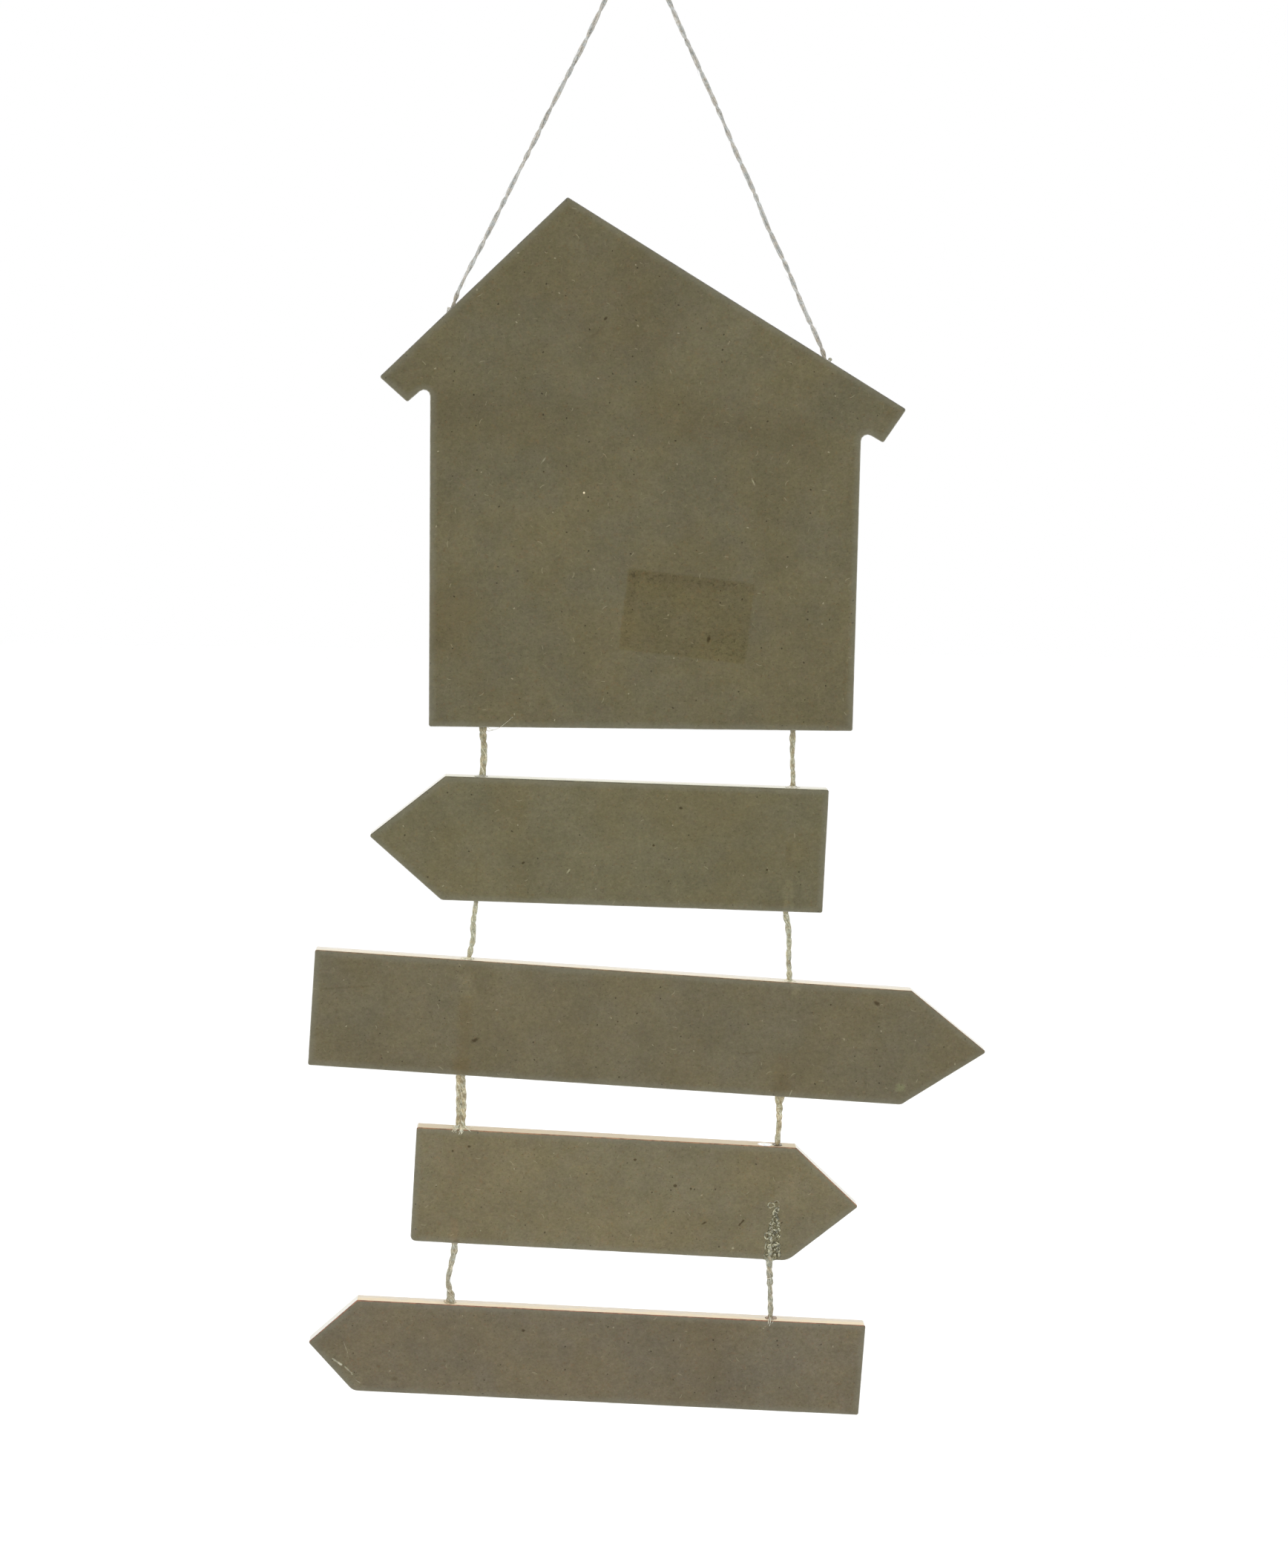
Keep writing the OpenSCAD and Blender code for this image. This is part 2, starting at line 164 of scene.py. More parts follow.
LINK_ROUTES = {
    "link_cord_1_left": link_route(
        1, -1, [(3.5, 0, 18), (3.5, 0, 0), (4, 0, -9.5)], [(3.5, 0, 1.5), (3, 0, -13.5)]),
    "link_cord_1_right": link_route(
        1, 1, [(-3.5, 0, 18), (-3.5, 0, 0), (-3.5, 0, -10.5)], [(-3, 0, -1.5), (-3.5, 0, -16.5)]),
    "link_cord_2_left": link_route(
        2, -1, [(2, 0, 19.5), (1.5, 0, 1.5), (0.5, 0, -7), (0.5, 0, -13)], [(-1, 0, 3.5), (-2, 0, -11.5)]),
    "link_cord_2_right": link_route(
        2, 1, [(-4, 0, 16.5), (-4.5, 0, -1.5), (-3.5, 0, -7), (-3, 0, -13.5)],
        [(-3, 0, 4), (-2.5, 0, -4), (-3.5, 0, -19)]),
    "link_cord_3_left_outer": link_route(
        3, -1, [(-3.5, 0, 22), (-4.5, 0, 4), (-4.5, 0, -6)], [(-4.5, 0, 3.5), (-5, 0, -11.5)]),
    "link_cord_3_left_inner": link_route(
        3, -1, [(-1.7, 0, 22), (-2.7, 0, 4), (-2.3, 0, -6)], [(-2.7, 0, 3.5), (-3.2, 0, -11.5)]),
    "link_cord_3_right": link_route(
        3, 1, [(-4, 0, 14.5), (-5, 0, -3.5), (-5, 0, -9)], [(-5, 0, 5.5), (-5.5, 0, -2.5), (-6.5, 0, -17.5)]),
    "link_cord_4_left": link_route(
        4, -1, [(-4.5, 0, 21.5), (-5.5, 0, 3.5), (-6, 0, -2), (-7, 0, -6.5), (-8, 0, -12)],
        [(-7.5, 0, 8.5), (-7, 0, 3.5), (-7.5, 0, -11.5)]),
    "link_cord_4_right": link_route(
        4, 1, [(-6.5, -1.2, 16), (-7.5, -1.8, -2.5), (-7, -1, -12.5)], [(-6.5, 0, -2.5), (-7.5, 0, -17.5)]),
}
ROUTES = {"hanging_cord": HANGING_ROUTE, **LINK_ROUTES}

BODY_OF = {
    "house_board": "house", "arrow_board_1": "board_1", "arrow_board_2": "board_2",
    "arrow_board_3": "board_3", "arrow_board_4": "board_4",
}
# Each hole: name of its glue, board, and for each twine in it the twine's name and which end it is
HOLES = [
    ("roof_glue_left", "house_board", [("hanging_cord", "first")]),
    ("roof_glue_right", "house_board", [("hanging_cord", "last")]),
]
for order, (board_name, body) in enumerate(BODY_OF.items()):
    for edge, gap, which in (("top", order, "last"), ("base", order + 1, "first")):
        for side in ("left", "right"):
            link = "link_cord_%d_%s" % (gap, side)
            twines = [(name, which) for name in LINK_ROUTES if name.startswith(link)]
            if twines:
                HOLES.append(("%s_%s_glue_%s" % (body, edge, side), board_name, twines))


# Small helpers

def unit(v):
    v = np.asarray(v, float)
    return v / np.linalg.norm(v)


def smooth_step(t):
    t = np.clip(t, 0, 1)
    return t * t * (3 - 2 * t)


def srgb(r, g, b):
    """A colour written as the 0 to 255 values that it should render as."""
    def linear(c):
        c /= 255
        return c / 12.92 if c <= 0.04045 else ((c + 0.055) / 1.055) ** 2.4
    return (linear(r), linear(g), linear(b), 1)


def wander(t, seed, reach=1.0):
    """A smooth random wander between -reach and reach along a length t."""
    return reach * noise.noise(Vector((t, seed * 17.3, 3.1)))


def new_object(name, data):
    obj = bpy.data.objects.new(name, data)
    bpy.context.scene.collection.objects.link(obj)
    return obj


def add_object(name, points, faces, materials, material_index=None):
    """A mesh object from points in millimetres."""
    mesh = bpy.data.meshes.new(name)
    mesh.from_pydata([tuple(float(c) * MM for c in p) for p in points], [], [tuple(f) for f in faces])
    for material in materials:
        mesh.materials.append(material)
    if material_index is not None:
        mesh.polygons.foreach_set("material_index", material_index)
    return new_object(name, mesh)


def add_values(obj, name, values):
    """Store a number or a vector for each point of a mesh, for its material to read."""
    values = np.asarray(values, np.float32)
    kind = "FLOAT" if values.ndim == 1 else "FLOAT_VECTOR"
    layer = obj.data.attributes.new(name, kind, "POINT")
    layer.data.foreach_set("value" if kind == "FLOAT" else "vector", values.ravel())


# Materials

def put(socket, value):
    """Link a socket to another node's output, or set its value. None leaves it as it is."""
    if isinstance(value, bpy.types.NodeSocket):
        socket.id_data.links.new(value, socket)
    elif value is not None:
        socket.default_value = value


def add_node(tree, kind, inputs=(), **settings):
    """Outputs of a new node, whose inputs are given by name or by number."""
    node = tree.nodes.new("ShaderNode" + kind)
    for name, value in settings.items():
        setattr(node, name, value)
    for key, value in dict(inputs).items():
        put(node.inputs[key], value)
    return node.outputs


def scaled(tone, by):
    """A tone made lighter or darker, within 0 to 255."""
    return [min(255, max(0, c * by)) for c in tone]


class Shader:
    """A Principled material, with short calls for the nodes that it is built from."""

    def __init__(self, name):
        self.material = bpy.data.materials.new(name)
        self.material.use_nodes = True
        self.tree = self.material.node_tree
        self.surface = self.tree.nodes["Principled BSDF"]

    def node(self, kind, inputs=(), **settings):
        return add_node(self.tree, kind, inputs, **settings)

    def math(self, operation, a, b=None):
        return self.node("Math", {0: a, 1: b}, operation=operation)[0]

    def attribute(self, name, output="Fac"):
        return self.node("Attribute", attribute_name=name)[output]

    def split(self, vector):
        return self.node("SeparateXYZ", {0: vector})

    def place(self, turn=0.0, offset=(0, 0, 0), stretch=(1, 1, 1)):
        """Object coordinates in millimetres, turned about Y by some degrees, then moved and stretched."""
        turned = self.node("Mapping", {
            "Vector": self.node("TexCoord")["Object"], "Rotation": (0, math.radians(turn), 0),
            "Scale": (1 / MM, 1 / MM, 1 / MM)})[0]
        return self.node("Mapping", {"Vector": turned, "Location": offset, "Scale": stretch})[0]

    def noise(self, vector, size, detail=2.0, roughness=0.5):
        """Noise whose features are about size millimetres across."""
        look = {"Vector": vector, "Scale": 1 / size, "Detail": detail, "Roughness": roughness}
        return self.node("TexNoise", look)["Fac"]

    def swing(self, value, reach):
        """A noise as a swing about zero."""
        return self.math("MULTIPLY", self.math("SUBTRACT", value, 0.5), reach)

    def level(self, value, low, high, out_low=0.0, out_high=1.0):
        """Smooth step from out_low at low to out_high at high."""
        ends = {"Value": value, "From Min": low, "From Max": high, "To Min": out_low, "To Max": out_high}
        return self.node("MapRange", ends, interpolation_type="SMOOTHSTEP")[0]

    def mix(self, factor, a, b, blend="MIX"):
        return self.node("Mix", {0: factor, 6: a, 7: b}, data_type="RGBA", blend_type=blend)[2]

    def between(self, value, first, second, low=0.35, high=0.65):
        """A colour that goes from one tone to another as a value goes from low to high."""
        return self.mix(self.level(value, low, high), srgb(*first), srgb(*second))

    def tint(self, colour, by):
        """A colour times a number, or times a number for each channel. None leaves it as it is."""
        if by is None:
            return colour
        by = (by, by, by) if isinstance(by, float) else by
        return self.mix(1.0, colour, (*by, 1), "MULTIPLY")

    def vary(self, colour, value, low, high, first, second, most=1.0):
        """Tint a colour by first where a value is low, and by second where it is high."""
        share = self.level(value, low, high, 0.0, most)
        return self.mix(share, self.tint(colour, first), self.tint(colour, second))

    def bump(self, height, distance, under=None):
        """A bumpy normal, whose bumps are distance millimetres high and lie over those of another."""
        return self.node("Bump", {"Distance": distance * MM, "Height": height, "Normal": under})[0]

    def done(self, colour, roughness, normal, others=()):
        """The material with its last values and links put in."""
        values = {"Base Color": colour, "Roughness": roughness, "Normal": normal, **dict(others)}
        for name, value in values.items():
            put(self.surface.inputs[name], value)
        return self.material


FACE_TONES = {
    # greener tone, browner tone and droop of each board; both tones are darker than the raw board, with the
    # painted shade of the back face, which is turned away from the light
    "house_board": ((110, 104.5, 80.5), (111, 104, 77), 0.0),
    "arrow_board_1": ((113.5, 108.5, 83), (114.5, 107.5, 79), 1.5),
    "arrow_board_2": ((114, 107.5, 85), (114.5, 106.5, 81), 3.6),
    "arrow_board_3": ((123.5, 116.5, 91.5), (124.5, 115.5, 87.5), 2.9),
    "arrow_board_4": ((116.5, 108.5, 89), (117.5, 108, 85), 2.8),
}
# Near-white painted glare of the edges that slope or stand upright, for the bright light around them
SLOPED_EDGE_GLARE = (240, 238, 229)    # of edges that slope or stand upright
EDGE_TONES = {
    # near the back and near the front, of the edges that face up or down: the edge's own pale tan with
    # painted glare of the light from behind, which differs from board to board
    "house_board": ((206, 200, 178), (226, 224, 214)),
    "arrow_board_1": ((212, 211, 191), (228, 225, 215)),
    "arrow_board_2": ((228, 218, 194), (226, 220, 208)),
    "arrow_board_3": ((201, 185, 153), (199, 184, 157)),
    "arrow_board_4": ((228, 211, 178), (217, 207, 189)),
}
# Painted shade: the dark line along the worn corner where it faces up, for each board
ARRIS_SHADE_TONES = {
    "house_board": (112, 108, 96), "arrow_board_1": (98, 92, 68), "arrow_board_2": (126, 104, 76),
    "arrow_board_3": (148, 112, 82), "arrow_board_4": (142, 100, 76),
}
# Painted grey reflection of the bright surroundings, on the worn corner
ARRIS_REFLECTION_TONES = ((150, 147, 132), (126, 122, 104))    # where the worn corner doesn't face up
FIBRE_GLINT = (250, 249, 236)
SOAKED_TONES = ((158, 140, 100), (98, 80, 54))     # of twine that is brown with glue


def flecks(s, colour, at, cell, share, half_length, half_width, tone, strength, curl):
    """Short curled flecks in some cells of a random pattern. A fleck as wide as it is long is a speck."""
    pattern = s.node("TexVoronoi", {"Vector": at, "Scale": 1 / cell})
    chance = s.split(pattern["Color"])
    away = s.node("VectorMath", {0: at, 1: pattern["Position"]}, operation="SUBTRACT")[0]
    turn = s.math("MULTIPLY", chance[1], 2 * math.pi)
    xyz = s.split(s.node("VectorRotate", {"Vector": away, "Angle": turn}, rotation_type="Y_AXIS")[0])
    along = s.math("DIVIDE", xyz[0], s.level(chance[2], 0.0, 1.0, 0.6, 1.25))
    bow = s.math("MULTIPLY", s.math("MULTIPLY", along, along), s.math("SUBTRACT", chance[2], 0.5))
    across = s.math("ABSOLUTE", s.math("ADD", xyz[2], s.math("MULTIPLY", bow, 2 * curl)))
    side = s.level(across, half_width, half_width * 0.35)
    end = s.level(s.math("ABSOLUTE", along), half_length, half_length * 0.5)
    mask = s.math("MULTIPLY", s.math("MULTIPLY", side, end), s.level(chance[0], share, share - 0.01))
    return s.mix(s.math("MULTIPLY", mask, strength), colour, srgb(*tone))


FLECKS = (
    # cell, share of the cells with a fleck, half length, half width, colour, strength, curl, offset by board
    (3.4, 0.40, 0.70, 0.22, (80, 72, 52), 0.30, 0.3, (3.1, 0, 5.7)),
    (3.8, 0.30, 0.34, 0.30, (66, 58, 42), 0.38, 0.0, (5.1, 1, 9.3)),
    (8.0, 0.22, 0.38, 0.36, (44, 36, 26), 0.70, 0.0, (9.1, 2, 4.5)),
    (5.0, 0.34, 0.90, 0.15, (168, 160, 128), 0.20, 0.5, (8.9, 3, 7.7)),
    (11.0, 0.30, 1.10, 0.19, (190, 182, 150), 0.27, 0.5, (3.3, 4, 6.1)),
    (14.0, 0.22, 0.40, 0.30, (186, 178, 150), 0.45, 0.0, (7.0, 5, 4.3)),
    (2.5, 0.30, 0.27, 0.24, (62, 55, 40), 0.38, 0.0, (4.7, 6, 8.1)),
)


CLOUDS = (
    # name, place, size, detail, roughness, where it starts and ends, tint before and after, strength
    ("broad", "own", 60, 2, 0.5, 0.35, 0.65, None, (0.915, 0.918, 0.925), 1.0),
    ("violet", "second", 7, 3, 0.6, 0.44, 0.62, None, (1.008, 0.997, 1.06), 0.5),
    ("wide", "third", 13, 2, 0.5, 0.36, 0.64, 1.028, 0.955, 1.0),
    ("blotch", "grain", 4.2, 3, 0.6, 0.34, 0.66, 1.036, 0.962, 1.0),
    ("mottle", "grain", 1.5, 3, 0.65, 0.32, 0.68, 1.06, 0.935, 1.0),
    ("fine", "grain", 0.55, 3, 0.65, 0.3, 0.7, 1.09, 0.905, 1.0),
    ("bluish", "own", 1.3, 3, 0.7, 0.35, 0.65, (0.989, 1.008, 0.975), (1.012, 0.993, 1.028), 1.0),
    ("rust", "own", 1.1, 2, 0.5, 0.58, 0.72, None, (1.10, 0.95, 0.88), 0.7),
)
RIM_TONE = (132, 132, 118)
TORN_TONES = ((152, 147, 118), (88, 82, 62))
MARKS_FROM = (-2.0, -2.5)    # Y over which the marks of the back face come in


def fibreboard_face(name, seed):
    """Raw back of a fibreboard: clouded brown, darkened by the painted shade of the back, which faces away
    from the light, with short curled fibres, specks and a paler rim.
    """
    green, brown, droop = FACE_TONES[name]
    s = Shader(name + "_face")
    grain = s.place(droop, (seed * 71.3, 0, seed * 13.7), (0.82, 1, 1))
    places = {
        "grain": grain,
        "own": s.place(droop, (seed * 31.7, seed * 11.3, seed * 53.9)),
        "second": s.place(droop, (seed * 3.1, 40, seed * 23.9)),
        "third": s.place(droop, (seed * 5.3, 20, seed * 41.1)),
    }
    colour = s.between(s.noise(places["own"], 26, 3, 0.55), green, brown, 0.36, 0.64)
    noises = {}
    for cloud, place, size, detail, roughness, *look in CLOUDS:
        noises[cloud] = s.noise(places[place], size, detail, roughness)
        colour = s.vary(colour, noises[cloud], *look)
    blotch, mottle, fine = noises["blotch"], noises["mottle"], noises["fine"]
    for *look, offset in FLECKS:
        colour = flecks(s, colour, s.place(droop, [o * seed + 7 for o in offset]), *look)

    worn = s.level(s.math("ADD", s.attribute("rim"), s.swing(blotch, 1.6)), 2.8, 0.1)
    colour = s.mix(s.math("MULTIPLY", worn, 0.32), colour, srgb(*RIM_TONE))
    crumbs = s.level(s.noise(grain, 1.5, 4, 0.75), 0.50, 0.66)
    colour = marked(s, s.place(), colour, FACE_MARKS[name], mottle, crumbs)
    torn = s.level(s.math("ADD", s.attribute("torn"), s.swing(fine, 0.5)), 0.2, 0.5)
    colour = s.mix(torn, colour, s.between(fine, *TORN_TONES))
    normal = s.bump(fine, 0.05, s.bump(mottle, 0.05))
    return s.done(colour, 0.82, normal, {"Specular IOR Level": 0.12})


def marked(s, at, colour, marks, ragged, crumbs):
    """Tint soft-edged spots of the back face, small ones round and large ones square.

    ragged is a noise that frays their edges. crumbs are dark grains, for marks that end with their darkness.
    """
    xyz = s.split(at)
    back = s.level(xyz[1], *MARKS_FROM)
    for x, z, half_w, half_h, tilt, soft, tone, *crumbly in marks:
        c, t = math.cos(math.radians(tilt)), math.sin(math.radians(tilt))
        dx, dz = s.math("SUBTRACT", xyz[0], x), s.math("SUBTRACT", xyz[2], z)
        across = s.math("ADD", s.math("MULTIPLY", dx, c), s.math("MULTIPLY", dz, t))
        along = s.math("SUBTRACT", s.math("MULTIPLY", dz, c), s.math("MULTIPLY", dx, t))
        fray = s.swing(ragged, soft * 2)
        ways = ((across, half_w), (along, half_h))
        if max(half_w, half_h) < ROUND_BELOW:
            least = min(half_w, half_h)
            squares = [s.math("POWER", s.math("DIVIDE", way, half), 2.0) for way, half in ways]
            out = s.math("ADD", s.math("MULTIPLY", s.math("SQRT", s.math("ADD", *squares)), least), fray)
            mask = s.level(out, least + soft / 2, max(0.0, least - soft / 2))
        else:
            mask = s.math("MULTIPLY", *[
                s.level(s.math("ADD", s.math("ABSOLUTE", way), fray), half + soft / 2, half - soft / 2)
                for way, half in ways])
        here = s.tint(colour, tone)
        if crumbly:
            here = s.mix(crumbs, here, s.tint(here, crumbly[0]))
        colour = s.mix(s.math("MULTIPLY", mask, back), colour, here)
    return colour


ROUND_BELOW = 1.4       # marks smaller than this are round
DARK = (0.44, 0.39, 0.34)
# SLIT darkens the gaps between torn fibres: partly the torn board's colour, partly painted shade
SLIT = (0.30, 0.27, 0.22)
DARKISH = (0.80, 0.76, 0.71)
BROWN = (0.972, 0.94, 0.895)
PALE = (1.14, 1.14, 1.12)
SCRATCH = (1.9, 2.0, 2.2)
FACE_MARKS = {
    # x, z, half width, half height, tilt in degrees, softness of the edge, tint
    "house_board": (
        (21.3, -227.3, 23.0, 14.7, -6.2, 1.0, (0.945, 0.915, 0.82), 0.88),      # where a label was
        (22.8, -214.4, 22.4, 1.8, -6.2, 1.8, (0.93, 0.92, 0.94), 0.76),
        (0.4, -225.0, 1.8, 13.6, -6.2, 1.6, (0.95, 0.93, 0.92), 0.82),
        (37.0, -237.5, 7.0, 4.4, -6.2, 2.4, (0.95, 0.96, 0.96), 0.80),
        (29.3, -235.4, 0.55, 1.25, -12, 0.7, DARK),
        (6.2, -212.0, 0.9, 0.5, 0, 0.7, DARKISH),
        (-16.4, -183.2, 0.34, 0.40, 0, 0.2, (6.0, 6.0, 7.5)),           # a speck of white paint
        (-9.5, -121.5, 0.7, 0.4, 35, 0.5, DARK),
        (-12.5, -126.5, 3.4, 0.35, 42, 0.9, (0.88, 0.86, 0.84)),
        (-74.0, -232.0, 16.0, 12.0, 0, 14.0, (0.93, 0.90, 0.86)),
        (-46.0, -156.0, 30.0, 7.0, -4, 12.0, (0.94, 0.93, 0.93)),
        (-4.0, -118.0, 22.0, 20.0, 30, 18.0, (0.95, 0.93, 0.92)),
        (32.0, -158.0, 30.0, 7.0, -8, 12.0, (0.95, 0.93, 0.91)),
        (44.2, -178.6, 0.28, 1.3, 25, 0.3, SCRATCH),
        (-31.0, -171.9, 0.22, 1.1, -35, 0.3, SCRATCH),
    ),
    "arrow_board_1": (
        (60.3, -313.8, 0.9, 3.2, 0, 1.2, (0.90, 0.88, 0.85)),
        (60.7, -329.5, 1.5, 5.2, 0, 1.6, PALE),
        (56.0, -333.0, 5.0, 1.6, 1.5, 1.6, BROWN),
        (-53.9, -322.0, 0.35, 3.4, 0, 0.7, (0.92, 0.89, 0.86)),
        (74.9, -293.2, 0.34, 1.0, 20, 0.3, (2.6, 2.6, 2.8)),
        (20.4, -297.6, 0.75, 0.5, 0, 0.4, DARK),
        (10.7, -311.5, 0.4, 0.4, 0, 0.3, DARK),
        (-36.9, -318.5, 0.6, 0.4, 30, 0.4, DARK),
        (52.5, -320.3, 0.5, 0.4, 30, 0.4, DARK),
        (-20.3, -321.4, 0.3, 1.0, -35, 0.3, SCRATCH),
    ),
    "arrow_board_2": (
        (-57.2, -364.4, 2.2, 4.4, 0, 2.4, PALE),
        (-58.2, -384.0, 2.4, 15.0, -3, 2.6, BROWN),
        (-58.9, -396.5, 3.2, 4.0, 0, 2.6, BROWN),
        (-54.1, -385.4, 1.2, 0.6, 25, 0.8, DARK),
        (-101.8, -365.8, 9.0, 0.32, 4, 0.8, (0.88, 0.86, 0.83)),
        (64.3, -365.1, 1.4, 3.0, 0, 1.6, PALE),
        (59.9, -397.4, 3.0, 7.5, 0, 3.0, BROWN),
        (94.4, -370.3, 1.2, 0.6, -30, 0.7, DARK),
        (104.0, -402.5, 1.6, 1.2, 0, 1.2, (1.2, 1.32, 1.2)),
        (48.1, -389.5, 3.4, 0.3, 8, 0.7, (0.86, 0.83, 0.80)),
        (63.3, -404.6, 0.16, 1.2, -20, 0.3, SCRATCH),
    ),
    "arrow_board_3": (
        (5.8, -430.8, 0.5, 0.45, 0, 0.4, DARK),
        (21.0, -440.8, 0.65, 0.6, 0, 0.4, DARK),
        (26.8, -441.9, 0.4, 0.4, 0, 0.4, DARK),
        (32.1, -455.2, 0.8, 0.3, 30, 0.4, DARK),
        (46.0, -455.1, 1.5, 0.3, 50, 0.4, DARK),
        (-62.0, -427.8, 0.45, 0.4, 0, 0.4, DARK),
        (-56.0, -426.0, 0.6, 0.45, 0, 0.4, DARK),
        (43.1, -465.0, 0.4, 0.4, 0, 0.3, SCRATCH),
        (-61.3, -458.0, 1.3, 4.2, 0, 1.4, (1.12, 1.04, 1.02)),
        (-60.4, -463.0, 1.1, 1.2, 0, 1.0, DARKISH),
        (57.8, -442.7, 0.3, 3.0, 0, 0.7, BROWN),
        # gaps between the torn fibres: the torn board's own darker inside, with painted shade in the gaps
        (58.8, -446.9, 0.45, 0.35, 0, 0.3, DARK),
        (58.7, -451.9, 0.32, 0.95, 8, 0.3, SLIT),
        (58.5, -455.7, 0.40, 0.90, -12, 0.4, SLIT),
        (57.8, -458.3, 1.00, 0.32, -37, 0.3, SLIT),
        (56.3, -462.6, 0.45, 0.60, 0, 0.4, SLIT),
        (55.8, -464.2, 0.30, 1.00, -6, 0.4, DARK),
        (58.7, -464.8, 0.55, 0.25, 10, 0.3, DARK),
        (57.7, -467.2, 0.40, 0.40, 0, 0.4, DARK),
    ),
    "arrow_board_4": (
        (-104.9, -510.1, 2.3, 0.30, -36, 0.30, (2.0, 2.2, 2.6)),
        (-103.9, -510.7, 0.9, 0.46, -36, 0.35, (1.5, 1.55, 1.6)),
        (-100.7, -513.3, 1.9, 0.22, -44, 0.30, (1.9, 2.1, 2.4)),
        (-97.3, -517.7, 0.9, 0.16, -33, 0.30, (1.7, 1.85, 2.1)),
        (-101.7, -504.4, 0.14, 2.4, 19, 0.25, (1.6, 1.7, 1.8)),
        (-100.6, -508.6, 0.12, 2.2, 17, 0.25, (1.2, 1.22, 1.25)),
        (-104.5, -512.5, 9.0, 3.4, -44, 3.0, (1.06, 1.10, 1.10)),
        (-83.3, -516.8, 1.1, 0.7, 0, 0.9, (0.74, 0.70, 0.66)),
        (-89.4, -511.8, 0.8, 0.6, 0, 0.9, DARKISH),
        (-35.2, -497.6, 0.6, 0.5, 0, 0.6, DARK),
        (66.0, -509.0, 18.0, 30.0, 0, 24.0, (1.05, 1.065, 1.08)),
        (40.0, -503.0, 9.0, 20.0, 0, 16.0, (0.96, 0.955, 0.96)),
    ),
}


def fibreboard_edge(name, seed):
    """Cut edge of the board: tan near the back, paler towards the front, faintly layered along its length,
    with painted glare on the edges that face up and near-white painted glare on the edges that slope or stand
    upright.
    """
    s = Shader(name + "_edge")
    layers = s.noise(s.place(FACE_TONES[name][2], (seed * 9.1, 0, 0), (0.35, 1.6, 1)), 0.9, 3, 0.6)
    patch = s.noise(s.place(offset=(seed * 3.3, 0, 0)), 7, 3, 0.6)
    depth = s.math("ADD", s.split(s.place())[1], s.swing(patch, 5))
    upward = s.level(s.attribute("upward"), 0.97, 0.90)
    # upward picks out the sloping and upright edges, which get the near-white painted glare
    colour = s.mix(upward, s.between(depth, *EDGE_TONES[name], -1.6, 1.2), srgb(*SLOPED_EDGE_GLARE))
    colour = s.vary(colour, layers, 0.3, 0.7, 1.03, 0.90, 0.8)
    return s.done(colour, 0.5, s.bump(layers, 0.04))


def fibreboard_arris(name, seed):
    """The worn corner between face and edge: a dark brown painted shade where it faces up, and a painted grey
    reflection of the bright surroundings elsewhere.
    """
    s = Shader(name + "_arris")
    wear = s.noise(s.place(offset=(seed * 4.7, 0, 0)), 2.2, 3, 0.6)
    top = s.between(wear, scaled(ARRIS_SHADE_TONES[name], 1.12), scaled(ARRIS_SHADE_TONES[name], 0.82))
    grey_reflection = s.between(wear, *ARRIS_REFLECTION_TONES)
    # painted shade where the corner faces up, painted reflection on the rest
    colour = s.mix(s.level(s.attribute("upward"), 0.25, 0.45), grey_reflection, top)
    return s.done(colour, 0.6, s.bump(wear, 0.05))


def jute(name, pale, dark, groove_shade, grimy=0.78):
    """Jute fibres, each of its own tone, with painted shade in the grooves between them and between the
    plies.
    """
    s = Shader(name)
    at = s.place()
    along = s.attribute("strand", "Vector")
    streak = s.noise(along, 0.55, 3, 0.6)
    hair = s.noise(along, 0.20, 2, 0.6)
    colour = s.between(s.math("ADD", s.attribute("tone"), s.swing(streak, 1.6)), dark, pale, 0.0, 1.0)
    colour = s.vary(colour, hair, 0.35, 0.68, None, 0.84, 0.5)
    # painted shade where the surface lies deep between fibres and plies
    colour = s.mix(s.level(s.attribute("height"), 0.90, 0.50, 0.0, 0.65), colour, srgb(*groove_shade))
    colour = s.vary(colour, s.noise(at, 3.6), 0.35, 0.65, 1.05, 0.92)
    colour = s.vary(colour, s.noise(at, 0.8, 3, 0.75), 0.47, 0.62, None, (0.50, 0.49, 0.43), grimy)
    colour = s.vary(colour, s.noise(at, 1.7, 2, 0.6), 0.36, 0.64, (1.06, 1.0, 0.90), (0.95, 0.99, 0.98))
    bright = s.level(s.noise(along, 0.32, 2, 0.7), 0.60, 0.74, 0.0, 0.55)
    colour = s.mix(bright, colour, srgb(*FIBRE_GLINT))
    colour = s.mix(s.attribute("soak"), colour, s.between(streak, *SOAKED_TONES))
    normal = s.bump(hair, 0.04, s.bump(streak, 0.06))
    sheen = {"Specular IOR Level": 0.3, "Sheen Weight": 0.5, "Sheen Roughness": 0.4}
    return s.done(colour, 0.85, normal, sheen)


def set_glue(name, tone, low=0.80, grain=1.3):
    """Set glue: cloudy and glossy, with some light inside."""
    s = Shader(name)
    at = s.place()
    colour = s.between(s.noise(at, grain, 3, 0.6), scaled(tone, 1.08), scaled(tone, low), 0.32, 0.68)
    inside = {"Subsurface Weight": 0.35, "Subsurface Radius": (0.0012, 0.0010, 0.0007)}
    return s.done(colour, 0.3, s.bump(s.noise(at, 0.5, 3, 0.6), 0.12), inside)


# Boards, built on the outline of the frame's own boards

